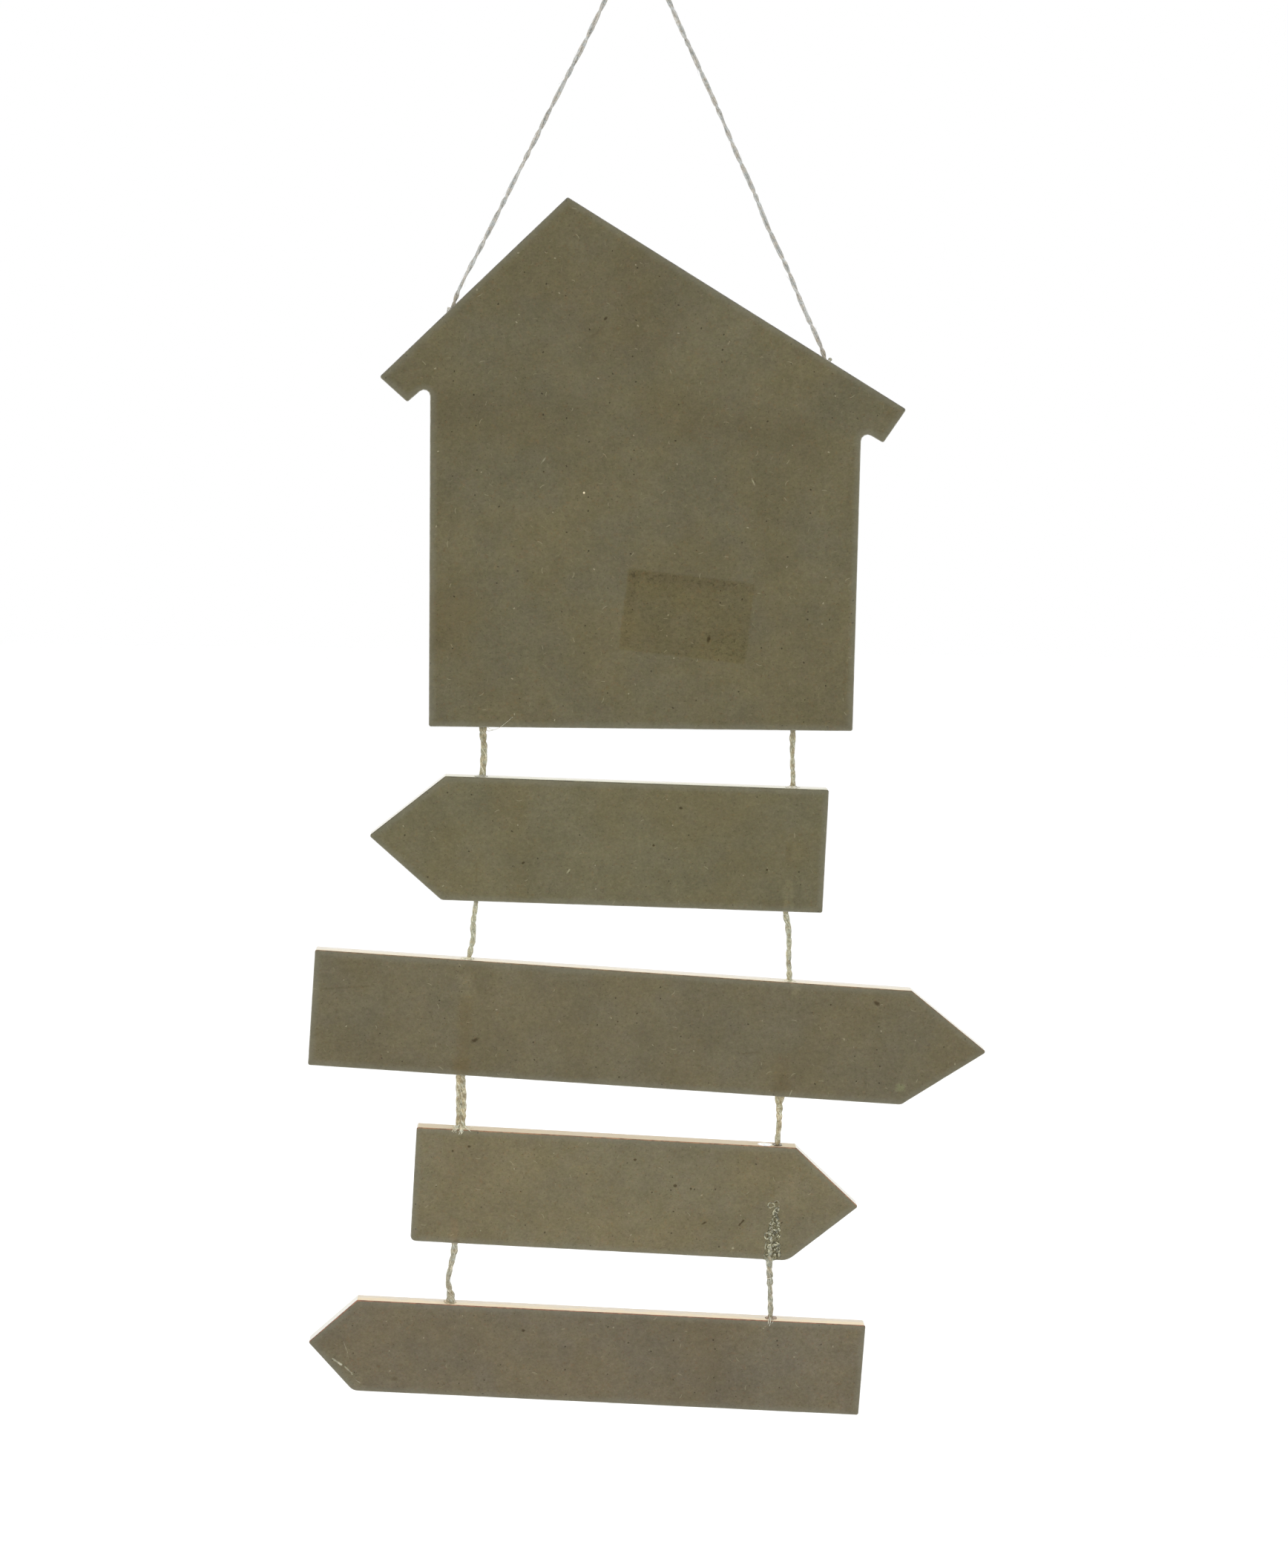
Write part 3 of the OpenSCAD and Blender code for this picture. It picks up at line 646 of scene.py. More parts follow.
WEAR = 0.32             # mean width of the worn corner between a face and the edge
WEAR_SPREAD = 0.16      # and how far it wanders from it
ARRIS_STEPS = 3
TORN_DEPTH = 0.25       # depth at which a torn place shows in full
STATION_STEP = 3.0      # spacing of points along straight stretches of an outline
FINE_REACH = 5.0        # closer points lie so far to both sides of the torn place
FINE_AWAY = 2.0         # if the outline passes it within this distance
PATCH_MARGIN = 1.4      # edge kept on each side of a hole's mouth
MOUTH_SIDES = 28
LONG_SIDE = 10.0        # shorter stretches of an outline belong to its corners
NEAR_CORNER = 5.0       # how close a side ends to the corner that it belongs to
SAME_LEVEL = 0.001
WELD = 1e-7             # distance in metres within which points are one
SNAP = 1e-7             # distance in millimetres within which the triangles' points are one
SHARP_ANGLE = 12        # degrees above which an edge isn't smoothed over
RIM_ROWS = ((1.0, 2.0), (2.2, 2.5), (3.8, 3.0), (5.5, 4.0))    # inset of each row of points, and spacing
INNER_STEP = 6.0        # spacing of the points further in
RIM_GAP = 0.8           # that is left free of scattered points along the outline
FACE, EDGE, ARRIS = 0, 1, 2


def front_outline(node):
    """Outline of a board's front face as points (x, z), counterclockwise seen from the back."""
    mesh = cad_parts[node].data
    points = [tuple(c / MM for c in v.co) for v in mesh.vertices]
    front = max(p[1] for p in points)
    follow = {}
    for polygon in mesh.polygons:
        ring = [points[i] for i in polygon.vertices]
        if all(abs(p[1] - front) < SAME_LEVEL for p in ring):
            keys = [(round(p[0], 3), round(p[2], 3)) for p in ring]
            for a, b in zip(keys, keys[1:] + keys[:1]):
                if follow.get(b) and a in follow[b]:
                    follow[b].remove(a)
                else:
                    follow.setdefault(a, []).append(b)
    start = next(a for a in follow if follow[a])
    loop = [start]
    while True:
        nearest = follow[loop[-1]][0]
        if nearest == start:
            break
        loop.append(nearest)
    loop = np.array(loop)
    x, z = loop[:, 0], loop[:, 1]
    if np.sum(x * np.roll(z, -1) - np.roll(x, -1) * z) < 0:
        loop = loop[::-1]
    return loop


SOFT_CORNERS = {
    # corners worn rounder than the rest: x, z, radius
    "arrow_board_1": ((-66.8, -332.5, 2.6),),
    "arrow_board_2": ((104.4, -409.1, 3.5),),
    "arrow_board_3": ((63.3, -469.8, 7.0),),
    "arrow_board_4": ((-99.2, -521.4, 4.5),),
}


def worn_outline(node):
    """Outline of a board with its worn corners rounded off."""
    loop = front_outline(node)
    for x, z, radius in SOFT_CORNERS.get(node, ()):
        n = len(loop)
        long = [i for i in range(n) if np.linalg.norm(loop[(i + 1) % n] - loop[i]) > LONG_SIDE]
        away = [np.linalg.norm(p - (x, z)) for p in loop]
        near = sorted(long, key=lambda i: min(away[i], away[(i + 1) % n]))[:2]
        first, second = near if away[(near[0] + 1) % n] < NEAR_CORNER else near[::-1]
        a, b = loop[first], loop[(first + 1) % n]
        c, d = loop[second], loop[(second + 1) % n]
        u, v = unit(b - a), unit(d - c)
        reach = np.linalg.solve(np.stack([u, -v], axis=1), c - a)[0]
        tip = a + u * reach
        trim = radius * math.tan(0.5 * math.acos(u @ v))
        rounded = [
            tip - u * trim + (u * 2 * trim * t * (1 - t) + (u + v) * trim * t * t)
            for t in np.linspace(0, 1, 9)]
        kept = [loop[(second + 1 + k) % n] for k in range((first - second - 1) % n + 1)]
        loop = np.array(kept + rounded)
    return loop


def hole_geometry(hole):
    """Start, axis and radius of a hole, and how deep it goes from the far end of its twine."""
    ends = []
    for cord_name, which in hole[2]:
        route = ROUTES[cord_name]
        ends.append((route[0], route[1]) if which == "first" else (route[-1], route[-2]))
    start = np.mean([e[0] for e in ends], axis=0)
    axis = unit(np.mean([e[1] for e in ends], axis=0) - start)
    radius = (PAIR_BORE_D if len(ends) > 1 else BORE_D) / 2
    depth = BASE_HOLE_DEPTH if axis[2] < 0 else TOP_HOLE_DEPTH
    return start, axis, radius, depth


def crossing(loop, start, axis):
    """Where a hole's axis leaves the outline: segment, place along it, point and outward normal."""
    best = None
    n = len(loop)
    for i in range(n):
        a, b = loop[i], loop[(i + 1) % n]
        along = b - a
        length = np.linalg.norm(along)
        if length < LONG_SIDE:
            continue
        normal = np.array([along[1], 0, -along[0]]) / length
        facing = axis @ normal
        if facing <= 0.3:
            continue
        reach = ((np.array([a[0], 0, a[1]]) - start) @ normal) / facing
        mouth = start + axis * reach
        s = (np.array([mouth[0], mouth[2]]) - a) @ along / length
        if 0 < s < length and (best is None or abs(reach) < abs(best[0])):
            best = (reach, i, s, mouth, normal)
    return best[1:]


def distance_to_loop(points, loop):
    points = np.asarray(points, float)
    best = np.full(len(points), 1e9)
    for a, b in zip(loop, np.roll(loop, -1, axis=0)):
        along = b - a
        t = np.clip(((points - a) @ along) / max(along @ along, 1e-12), 0, 1)
        best = np.minimum(best, np.linalg.norm(points - (a + t[:, None] * along), axis=1))
    return best


def inside_loop(points, loop):
    points = np.asarray(points, float)
    inside = np.zeros(len(points), bool)
    for a, b in zip(loop, np.roll(loop, -1, axis=0)):
        crosses = (a[1] > points[:, 1]) != (b[1] > points[:, 1])
        with np.errstate(divide="ignore", invalid="ignore"):
            x = a[0] + (points[:, 1] - a[1]) * (b[0] - a[0]) / (b[1] - a[1])
        inside ^= crosses & (points[:, 0] < x)
    return inside


def mitre_directions(loop):
    """At each point the inward direction, long enough that a unit inset moves both its sides by one."""
    before = loop - np.roll(loop, 1, axis=0)
    after = np.roll(loop, -1, axis=0) - loop
    before /= np.linalg.norm(before, axis=1)[:, None]
    after /= np.linalg.norm(after, axis=1)[:, None]
    n1 = np.stack([-before[:, 1], before[:, 0]], axis=1)
    n2 = np.stack([-after[:, 1], after[:, 0]], axis=1)
    return (n1 + n2) / (1 + np.sum(n1 * n2, axis=1))[:, None]


def stations_along(loop, patches, fine_near):
    """Points along the outline: at the ends of each hole's patch, and close together beside one place."""
    stations, marks = [], {}
    n = len(loop)
    for i in range(n):
        a, b = loop[i], loop[(i + 1) % n]
        length = np.linalg.norm(b - a)
        stops = {0.0}
        if fine_near is not None and length > 2 * LONG_SIDE:
            middle = (np.array(fine_near) - a) @ (b - a) / length
            if np.linalg.norm(a + (b - a) * middle / length - fine_near) < FINE_AWAY:
                fine = np.arange(middle - FINE_REACH, middle + FINE_REACH, TORN_STEP)
                stops.update(round(v, 4) for v in fine)
        for segment, s, reach in patches.values():
            if segment == i:
                stops.update((round(s - reach, 4), round(s, 4), round(s + reach, 4)))
        stops = sorted(v for v in stops if 0 <= v < length)
        dense = []
        for low, high in zip(stops, stops[1:] + [length]):
            count = max(1, int(math.ceil((high - low) / STATION_STEP)))
            dense += [low + (high - low) * j / count for j in range(count)]
        for s in dense:
            for name, (segment, centre, reach) in patches.items():
                if segment == i and abs(s - round(centre - reach, 4)) < 1e-6:
                    marks[name] = [len(stations)]
                if segment == i and abs(s - round(centre + reach, 4)) < 1e-6:
                    marks[name].append(len(stations))
            stations.append(a + (b - a) * s / length)
    return np.array(stations), marks


class BoardMesh:
    """Points and faces of a board, with the values that its materials read."""

    def __init__(self):
        self.points, self.faces, self.kinds = [], [], []
        self.values = {"rim": [], "upward": [], "torn": []}

    def add(self, point, rim=0.0, upward=0.0, torn=0.0):
        self.points.append(tuple(point))
        self.values["rim"].append(float(rim))
        self.values["upward"].append(float(upward))
        self.values["torn"].append(float(torn))
        return len(self.points) - 1

    def face(self, indices, kind):
        self.faces.append(tuple(indices))
        self.kinds.append(kind)


def square_to(axis):
    """Two directions square to an axis and to each other."""
    first = unit(np.cross(axis, (0, 1, 0)))
    return first, np.cross(axis, first)


def around(turn, u, w):
    """The direction at an angle between two that are square to each other."""
    return np.cos(turn) * u + np.sin(turn) * w


def ring_sides(first, count):
    return [(first + i, first + (i + 1) % count) for i in range(count)]


def tube_faces(base, rows, sides):
    """Faces of a closed tube, whose rings of points follow one another from index base on."""
    faces = []
    for j in range(rows - 1):
        for a, b in ring_sides(base + j * sides, sides):
            faces.append((a, b, b + sides, a + sides))
    last = base + (rows - 1) * sides
    return faces + [tuple(range(base, base + sides))[::-1], tuple(range(last, last + sides))]


def cap(board, ring_index, scatter, y, relief, front):
    """Fill a face with triangles over its ring and the scattered points."""
    ring = [(board.points[i][0], board.points[i][2]) for i in ring_index]
    n = len(ring)
    flat = [Vector(p) for p in ring + scatter]
    verts, _, faces, sources, _, _ = delaunay_2d_cdt(flat, ring_sides(0, n), [], 1, SNAP)
    rim = distance_to_loop([tuple(v) for v in verts], np.array(ring))
    index = []
    for i, v in enumerate(verts):
        source = next((k for k in sources[i] if k < n), None)
        if source is not None:
            index.append(ring_index[source])
        else:
            depth = relief(v[0], v[1])
            torn = smooth_step(depth / TORN_DEPTH)
            index.append(board.add((v[0], y + depth, v[1]), rim[i], torn=torn))
    for face in faces:
        board.face([index[k] for k in (face[::-1] if front else face)], FACE)


def drill(board, axis, radius, depth, mouth, normal, stations, back, front, span):
    """Edge wall with a hole in it, and the hole's own wall."""
    first, last = span
    along = stations[last] - stations[first]
    side = unit(np.array([along[0], 0, along[1]]))
    rim_points = []
    for k in range(MOUTH_SIDES):
        out = around(2 * math.pi * k / MOUTH_SIDES, *square_to(axis))
        out = radius * (1 + wander(k * 0.9, radius + mouth[0], 0.05)) * out
        rim_points.append(mouth + out - axis * (out @ normal) / (axis @ normal))
    outer = [back[i] for i in range(first, last + 1)] + [front[i] for i in range(last, first - 1, -1)]
    outer_points = [np.array(board.points[i]) for i in outer]
    flat = [Vector(((p - mouth) @ side, p[1])) for p in outer_points + rim_points]
    n, m = len(outer), MOUTH_SIDES
    sides = ring_sides(0, n) + ring_sides(n, m)
    verts, _, faces, sources, _, _ = delaunay_2d_cdt(flat, sides, [], 1, SNAP)
    mouth_index = [board.add(p, 0, normal[2]) for p in rim_points]
    index = []
    for i in range(len(verts)):
        source = sources[i][0]
        index.append(outer[source] if source < n else mouth_index[source - n])
    hole_loop = np.array([tuple(v) for v in flat[n:]])
    for face in faces:
        middle = np.mean([tuple(verts[k]) for k in face], axis=0)
        if not inside_loop([middle], hole_loop)[0]:
            board.face([index[k] for k in face], EDGE)
    above = mouth_index
    for down in (0.6, 2.0, depth * 0.5, depth - 1.0):
        ring = [board.add(p - axis * (down + (mouth - p) @ -axis)) for p in rim_points]
        for a, b in ring_sides(0, m):
            board.face((above[a], above[b], ring[b], ring[a]), EDGE)
        above = ring
    bottom = board.add(mouth - axis * depth)
    for a, b in ring_sides(0, m):
        board.face((above[a], above[b], bottom), EDGE)


def no_relief(x, z):
    return 0.0


# Where the hole in board 3's base broke out through the back: a torn strip that narrows upwards

TORN_FOOT = (57.9, -468.4)
TORN_TOP = (58.8, -449.4)
TORN_STEP = 0.4
TORN_WIDTHS = ((0, 0.35, 0.72, 0.82, 1), (3.3, 2.7, 1.9, 1.1, 0.5))    # half width along the strip


def torn_relief(x, z):
    """Depth of the torn strip below the back face."""
    t = (z - TORN_FOOT[1]) / (TORN_TOP[1] - TORN_FOOT[1])
    if not -0.05 < t < 1:
        return 0.0
    middle = TORN_FOOT[0] + t * (TORN_TOP[0] - TORN_FOOT[0])
    ragged = noise.noise(Vector((x * 0.9, z * 0.9, 4.0)))
    inside = np.interp(t, *TORN_WIDTHS) + 0.5 * ragged - abs(x - middle)
    if inside <= 0:
        return 0.0
    rough = noise.noise(Vector((x * 1.7, z * 1.7, 9.0)))
    return max(0.0, min(inside, 0.40 + 0.35 * rough))


def torn_points():
    points = []
    for x in np.arange(TORN_FOOT[0] - 4.2, TORN_FOOT[0] + 5.2, TORN_STEP):
        for z in np.arange(TORN_FOOT[1] + 1.0, TORN_TOP[1] + 1.2, TORN_STEP):
            points.append((x + wander(z * 3.1, x, 0.12), z + wander(x * 3.3, z, 0.12)))
    return points


def near_torn(x, z):
    return abs(x - TORN_FOOT[0] - 0.5) < 5.4 and z < TORN_TOP[1] + 1.8


def drilled_holes(name, loop, open_holes):
    """For each hole of a board its measures, and where it cuts the outline: segment, place and reach."""
    holes, patches = {}, {}
    for hole in HOLES:
        if hole[1] == name and hole[0] not in open_holes:
            start, axis, radius, depth = hole_geometry(hole)
            segment, s, mouth, normal = crossing(loop, start, axis)
            holes[hole[0]] = (axis, radius, depth, mouth, normal)
            patches[hole[0]] = (segment, s, radius / (axis @ normal) + PATCH_MARGIN)
    return holes, patches


def corner_rows(board, stations, inward, side, wears, relief):
    """Rows of points round the worn corner of one face. side is -1 at the back and 1 at the front."""
    rows = []
    for j in range(ARRIS_STEPS + 1):
        turn = math.pi / 2 * j / ARRIS_STEPS
        row = []
        for station, way, wear in zip(stations, inward, wears):
            x, z = station + way * wear * (1 - math.sin(turn))
            y = side * (BOARD_T / 2 - wear * (1 - math.cos(turn)))
            depth = relief(x, z)
            row.append(board.add((x, y + depth, z), 0, -way[1], smooth_step(depth / TORN_DEPTH)))
        rows.append(row)
    return rows


def scattered(stations, inward, seed):
    """Points inside an outline: rows that follow it, and an uneven grid further in."""
    scatter = []
    for inset, step in RIM_ROWS:
        for here, there, way in zip(stations, np.roll(stations, -1, axis=0), inward):
            count = max(1, int(round(np.linalg.norm(there - here) / step)))
            scatter += [here + (there - here) * c / count + way * inset for c in range(count)]
    low, high = stations.min(axis=0), stations.max(axis=0)
    reach = INNER_STEP * 0.4
    for x in np.arange(low[0], high[0], INNER_STEP):
        for z in np.arange(low[1], high[1], INNER_STEP):
            jitter = (wander(x * 1.7 + z, seed, reach), wander(z * 1.9 - x, seed + 2, reach))
            scatter.append(np.array((x + jitter[0], z + jitter[1])))
    scatter = np.array(scatter)
    scatter = scatter[inside_loop(scatter, stations)]
    return [tuple(p) for p in scatter[distance_to_loop(scatter, stations) > RIM_GAP]]


def make_board(name, seed, relief=no_relief, extra=None, fine_near=None, open_holes=()):
    """A board. extra holds more points for its back and the test for the place that they cover."""
    loop = worn_outline(name)
    holes, patches = drilled_holes(name, loop, open_holes)
    stations, marks = stations_along(loop, patches, fine_near)
    inward = mitre_directions(stations)
    board = BoardMesh()
    wear = [WEAR + wander((x + z) * 0.21, seed, WEAR_SPREAD) for x, z in stations]
    front_wear = [WEAR + wander((x - z) * 0.23, seed + 5, WEAR_SPREAD) for x, z in stations]
    back_rows = corner_rows(board, stations, inward, -1, wear, relief)
    front_rows = corner_rows(board, stations, inward, 1, front_wear, no_relief)
    round_about = ring_sides(0, len(stations))
    for rows, flip in ((back_rows, False), (front_rows, True)):
        for outer, inner in zip(rows, rows[1:]):
            for i, k in round_about:
                quad = (outer[i], inner[i], inner[k], outer[k])
                board.face(quad[::-1] if flip else quad, ARRIS)

    plain = scattered(stations, inward, seed)
    back_scatter = plain
    if extra is not None:
        dense, covers = extra
        back_scatter = [p for p in plain if not covers(*p)] + dense
    cap(board, back_rows[0], back_scatter, -BOARD_T / 2, relief, False)
    cap(board, front_rows[0], plain, BOARD_T / 2, no_relief, True)

    back_edge, front_edge = back_rows[ARRIS_STEPS], front_rows[ARRIS_STEPS]
    covered = set()
    for key, value in holes.items():
        drill(board, *value, stations, back_edge, front_edge, marks[key])
        covered.update(range(*marks[key]))
    for i, k in round_about:
        if i not in covered:
            board.face((back_edge[i], front_edge[i], front_edge[k], back_edge[k]), EDGE)

    materials = [fibreboard_face(name, seed), fibreboard_edge(name, seed), fibreboard_arris(name, seed)]
    obj = add_object(name + "_raw", board.points, board.faces, materials, board.kinds)
    for label, values in board.values.items():
        add_values(obj, label, values)
    close_up(obj)
    obj.data.set_sharp_from_angle(angle=math.radians(SHARP_ANGLE))
    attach(obj, BODY_OF[name])
    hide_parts(name)


def close_up(obj):
    """Make every face of a closed mesh look outwards."""
    b = bmesh.new()
    b.from_mesh(obj.data)
    bmesh.ops.remove_doubles(b, verts=b.verts, dist=WELD)
    bmesh.ops.recalc_face_normals(b, faces=b.faces)
    b.to_mesh(obj.data)
    b.free()
    obj.data.shade_smooth()


# Twine

CURVE_STEP = 0.1        # spacing of the points that a smooth curve is measured by
RING_STEP = 0.35        # spacing of the rings along a ply
PLY_SIDES = 14
FIBRE_SIDES = 5
STRAY_SIDES = 4
LOOSE_STEP = 0.3        # spacing of the rings along a loose fibre


def smooth_path(route, step):
    """A Catmull-Rom curve through the route's points, in even steps."""
    p = np.array(route, float)
    p = np.vstack([2 * p[0] - p[1], p, 2 * p[-1] - p[-2]])
    dense = []
    for i in range(1, len(p) - 2):
        count = max(4, int(np.linalg.norm(p[i + 1] - p[i]) / CURVE_STEP))
        for t in np.arange(count) / count:
            dense.append(0.5 * (
                2 * p[i] + (p[i + 1] - p[i - 1]) * t
                + (2 * p[i - 1] - 5 * p[i] + 4 * p[i + 1] - p[i + 2]) * t ** 2
                + (3 * p[i] - p[i - 1] - 3 * p[i + 1] + p[i + 2]) * t ** 3))
    dense.append(p[-2])
    dense = np.array(dense)
    run = np.concatenate([[0], np.cumsum(np.linalg.norm(np.diff(dense, axis=0), axis=1))])
    count = int(round(run[-1] / step))
    at = np.linspace(0, run[-1], count + 1)
    return np.stack([np.interp(at, run, dense[:, k]) for k in range(3)], axis=1), at


def frames_along(path, first=(0, 1, 0)):
    """Tangents and two cross directions along a path, turning as little as possible."""
    tangents = np.gradient(path, axis=0)
    tangents /= np.linalg.norm(tangents, axis=1)[:, None]
    u = np.array(first, float)
    across = []
    for t in tangents:
        u = unit(u - t * (u @ t))
        across.append(u)
    across = np.array(across)
    return tangents, across, np.cross(tangents, across)


class Strands:
    """Gathers tubes into one mesh, with the values that the jute material reads."""

    def __init__(self):
        self.points, self.faces, self.strand, self.height, self.tone = [], [], [], [], []
        self.count = 0
        self.soaked = []

    def tube(self, path, run, radius, sides, height, tone, seed, lobes=0.0):
        """A closed tube with fibre coordinates along it. Each ring can have its own height and radius."""
        n = len(path)
        _, u, w = frames_along(path, first=(0.2, 1, 0.1))
        turn = 2 * math.pi * np.arange(sides) / sides
        ripple = 1 + lobes * np.cos(3 * turn + run[:, None] * 1.1 + seed)
        ripple = ripple + 0.6 * lobes * np.sin(2 * turn - run[:, None] * 0.7 + seed * 2.3)
        out = np.cos(turn)[None, :, None] * u[:, None, :] + np.sin(turn)[None, :, None] * w[:, None, :]
        reach = np.broadcast_to(radius, (n,))[:, None] * ripple
        self.points.append((path[:, None, :] + reach[:, :, None] * out).reshape(-1, 3))
        round_about = np.stack([np.cos(turn) * 0.6 + seed * 3.7, np.sin(turn) * 0.6], axis=1)
        strand = np.empty((n, sides, 3))
        strand[:, :, :2] = round_about[None]
        strand[:, :, 2] = run[:, None] * 0.16
        self.strand.append(strand.reshape(-1, 3))
        self.height.append(np.repeat(np.broadcast_to(height, (n,)), sides))
        self.tone.append(np.full(n * sides, tone))
        self.faces += tube_faces(self.count, n, sides)
        self.count += n * sides

    def build(self, name, material):
        points = np.concatenate(self.points)
        obj = add_object(name, points, self.faces, [material])
        soak = np.zeros(len(points))
        for place, reach, strength in self.soaked:
            away = np.linalg.norm(points - place, axis=1)
            soak = np.maximum(soak, strength * smooth_step(1 - away / reach))
        add_values(obj, "soak", soak)
        add_values(obj, "strand", np.concatenate(self.strand))
        add_values(obj, "height", np.concatenate(self.height))
        add_values(obj, "tone", np.concatenate(self.tone))
        obj.data.shade_smooth()
        return obj


def twisted(strands, route, look):
    """Two plies laid in an S twist round a route, each a core with fibres lying on it."""
    path, run = smooth_path(route, RING_STEP)
    path[:, 0] += look.aside * np.sin(math.pi * run / run[-1])
    _, u, w = frames_along(path)
    seed, d, rng = look.seed, look.d, np.random.default_rng(look.seed)
    share = np.interp(run / run[-1], *look.width) if look.width else np.ones(len(run))
    sway = np.array([wander(r * 0.12, seed, look.wobble) for r in run])
    turn = look.phase - 2 * math.pi * run / look.pitch + sway
    for ply in range(2):
        gap = np.array([look.gap + look.loose * (0.5 + wander(r * 0.3, ply * 9 + seed)) for r in run])
        centre = path + (d * share * gap)[:, None] * around((turn + math.pi * ply)[:, None], u, w)
        girth = np.array([1 + wander(r * 0.45, seed + ply * 3, 0.20) for r in run])
        radius = (0.5 - look.gap) * d * share * girth
        height = 0.62 + 0.3 * gap
        strands.tube(centre, run, radius * 0.96, PLY_SIDES, height, 0.32, seed * 2 + ply, lobes=0.10)
        for f in range(look.fibres):
            own = 2 * math.pi * (f + rng.uniform(-0.3, 0.3)) / look.fibres
            drift = np.array([wander(r * 0.10, seed + f * 1.7 + ply * 31, 1.5) for r in run])
            lift = np.array([wander(r * 0.22, seed + f * 2.9 + ply * 47, 0.16) for r in run])
            lay = -0.3 if f % 3 == 0 else 0.45
            off = around((own + turn * lay + drift)[:, None], u, w)
            line = centre + (radius * (0.94 + lift))[:, None] * off
            height = np.linalg.norm(line - path, axis=1) / (0.5 * d * share)
            thick = rng.uniform(0.032, 0.058) * d
            every = slice(None, None, look.fibre_step)
            tone = rng.uniform(0.05, 1.0)
            strands.tube(line[every], run[every], thick, FIBRE_SIDES, height[every], tone, seed + f)
    return path, run


def stray_fibres(strands, path, run, d, count, seed, reach=1.3, length=(2.0, 5.0)):
    """Fine fibres that leave the twine at a low angle and curl."""
    tangents, u, w = frames_along(path)
    rng = np.random.default_rng(seed)
    for k in range(count):
        i = int(rng.integers(4, len(path) - 4))
        turn, size = rng.uniform(0, 2 * math.pi), rng.uniform(*length)
        swing, way = rng.uniform(-1, 1), rng.choice((-1, 1))
        out = around(turn, u[i], w[i])
        over = np.cross(tangents[i], out)
        lift = rng.uniform(0.3, 1.0) * reach
        t = np.linspace(0, 1, 7)[:, None]
        curve = (path[i] + out * (0.42 * d + lift * t ** 1.6) + way * tangents[i] * size * t
                 + over * swing * size * 0.3 * t ** 2)
        radius = 0.045 * (1 - 0.6 * t[:, 0])
        tone = rng.uniform(0.5, 1.0)
        strands.tube(curve, run[i] + t[:, 0] * size, radius, STRAY_SIDES, 1.0, tone, seed + k)


class TwineLook:
    """How one length of twine looks. width gives its thickness as a share of d along its run.

    gap is how far its plies lie from its middle, and loose how far they part in places, as shares of d.
    """

    def __init__(self, d, pitch, seed, phase, width=None, gap=0.125, loose=0.02, fibres=12, fibre_step=1,
                 wobble=1.8, soak=(0, 0), spots=(), aside=0.0):
        self.d, self.pitch, self.seed, self.phase, self.width = d, pitch, seed, phase, width
        self.gap, self.loose, self.wobble = gap, loose, wobble
        self.fibres, self.fibre_step = fibres, fibre_step
        self.soak = soak        # how brown with glue its head and its foot are
        self.spots = spots      # brown spots: distance below the head, reach and strength
        self.aside = aside      # how far the middle of its run lies to the side of the route


def loose_fibre(strands, points, radius=0.07, tone=0.9, seed=1.0):
    """One fibre on a smooth curve through given points, thinner towards its end."""
    path, run = smooth_path(points, LOOSE_STEP)
    strands.tube(path, run, radius * (1 - 0.5 * run / run[-1]), FIBRE_SIDES, 1.0, tone, seed)


def frayed_foot(strands, mouth, count, spread, seed):
    """Fibres that splay from a twine's foot over the top edge and hang a little down the back face."""
    rng = np.random.default_rng(seed)
    back = -BOARD_T / 2
    for k in range(count):
        lean = spread * rng.uniform(-1, 1)
        drop = rng.uniform(0.2, 2.3) * (1 - 0.5 * abs(lean) / spread)
        curl = rng.uniform(-0.9, 0.9)
        ways = (
            (lean * 0.25, -0.4, rng.uniform(0.5, 1.6)),
            (lean * 0.5 + curl * 0.3, back * 0.62, rng.uniform(0.4, 0.9)),
            (lean * 0.8, back - 0.08, rng.uniform(0.1, 0.4)),
            (lean + curl * 0.4, back - 0.16, -0.55 * drop),
            (lean + curl, back - 0.12, -drop))
        radius, tone = rng.uniform(0.08, 0.17), rng.uniform(0.3, 1.3)
        loose_fibre(strands, [mouth + way for way in ways], radius, tone, seed + k)


def lying_fibres(strands, mouth, fibres, seed):
    """Fibres that lie along the top edge from a twine's foot, each given by its reach along X and along Y."""
    rng = np.random.default_rng(seed)
    for k, (reach, aside) in enumerate(fibres):
        sway = rng.uniform(0.1, 0.5)
        ways = (
            (0.1 * reach, aside * 0.4, 0.7), (0.45 * reach, aside, 0.28 + sway * 0.3),
            (0.75 * reach, aside + sway, 0.22), (reach, aside + sway * 0.6, 0.10 + sway * 0.5))
        loose_fibre(strands, [mouth + way for way in ways], 0.085, rng.uniform(0.6, 1.4), seed + 50 + k)


def wrapped_fibre(strands, path, run, at, radius, thick, seed):
    """A fibre caught round the twine at a place along its run."""
    i = int(np.argmin(abs(run - at)))
    tangents, u, w = frames_along(path)
    turn = np.linspace(0, 2 * math.pi * 1.15, 20)[:, None]
    ring = path[i] + radius * around(turn, u[i], w[i]) + tangents[i] * (turn - 3.6) * 0.16
    strands.tube(ring, turn[:, 0] * radius, thick, FIBRE_SIDES, height=1.0, tone=1.2, seed=seed)


def make_hanging_cord():
    strands = Strands()
    look = TwineLook(HANGING_D, pitch=17.0, seed=3, phase=0, gap=0.215, fibres=8, fibre_step=2, wobble=3.0)
    path, run = twisted(strands, HANGING_ROUTE, look)
    stray_fibres(strands, path, run, HANGING_D, count=90, seed=11, reach=0.6)
    strands.soaked = [(mouth_of("roof_glue_left"), 9.0, 0.45), (mouth_of("roof_glue_right"), 14.0, 0.45)]
    obj = strands.build("hanging_twine", jute("jute_hanging", *HANGING_TONES))
    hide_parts("hanging_cord")
    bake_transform(obj)
    line, at = smooth_path(HANGING_ROUTE, 2.0)


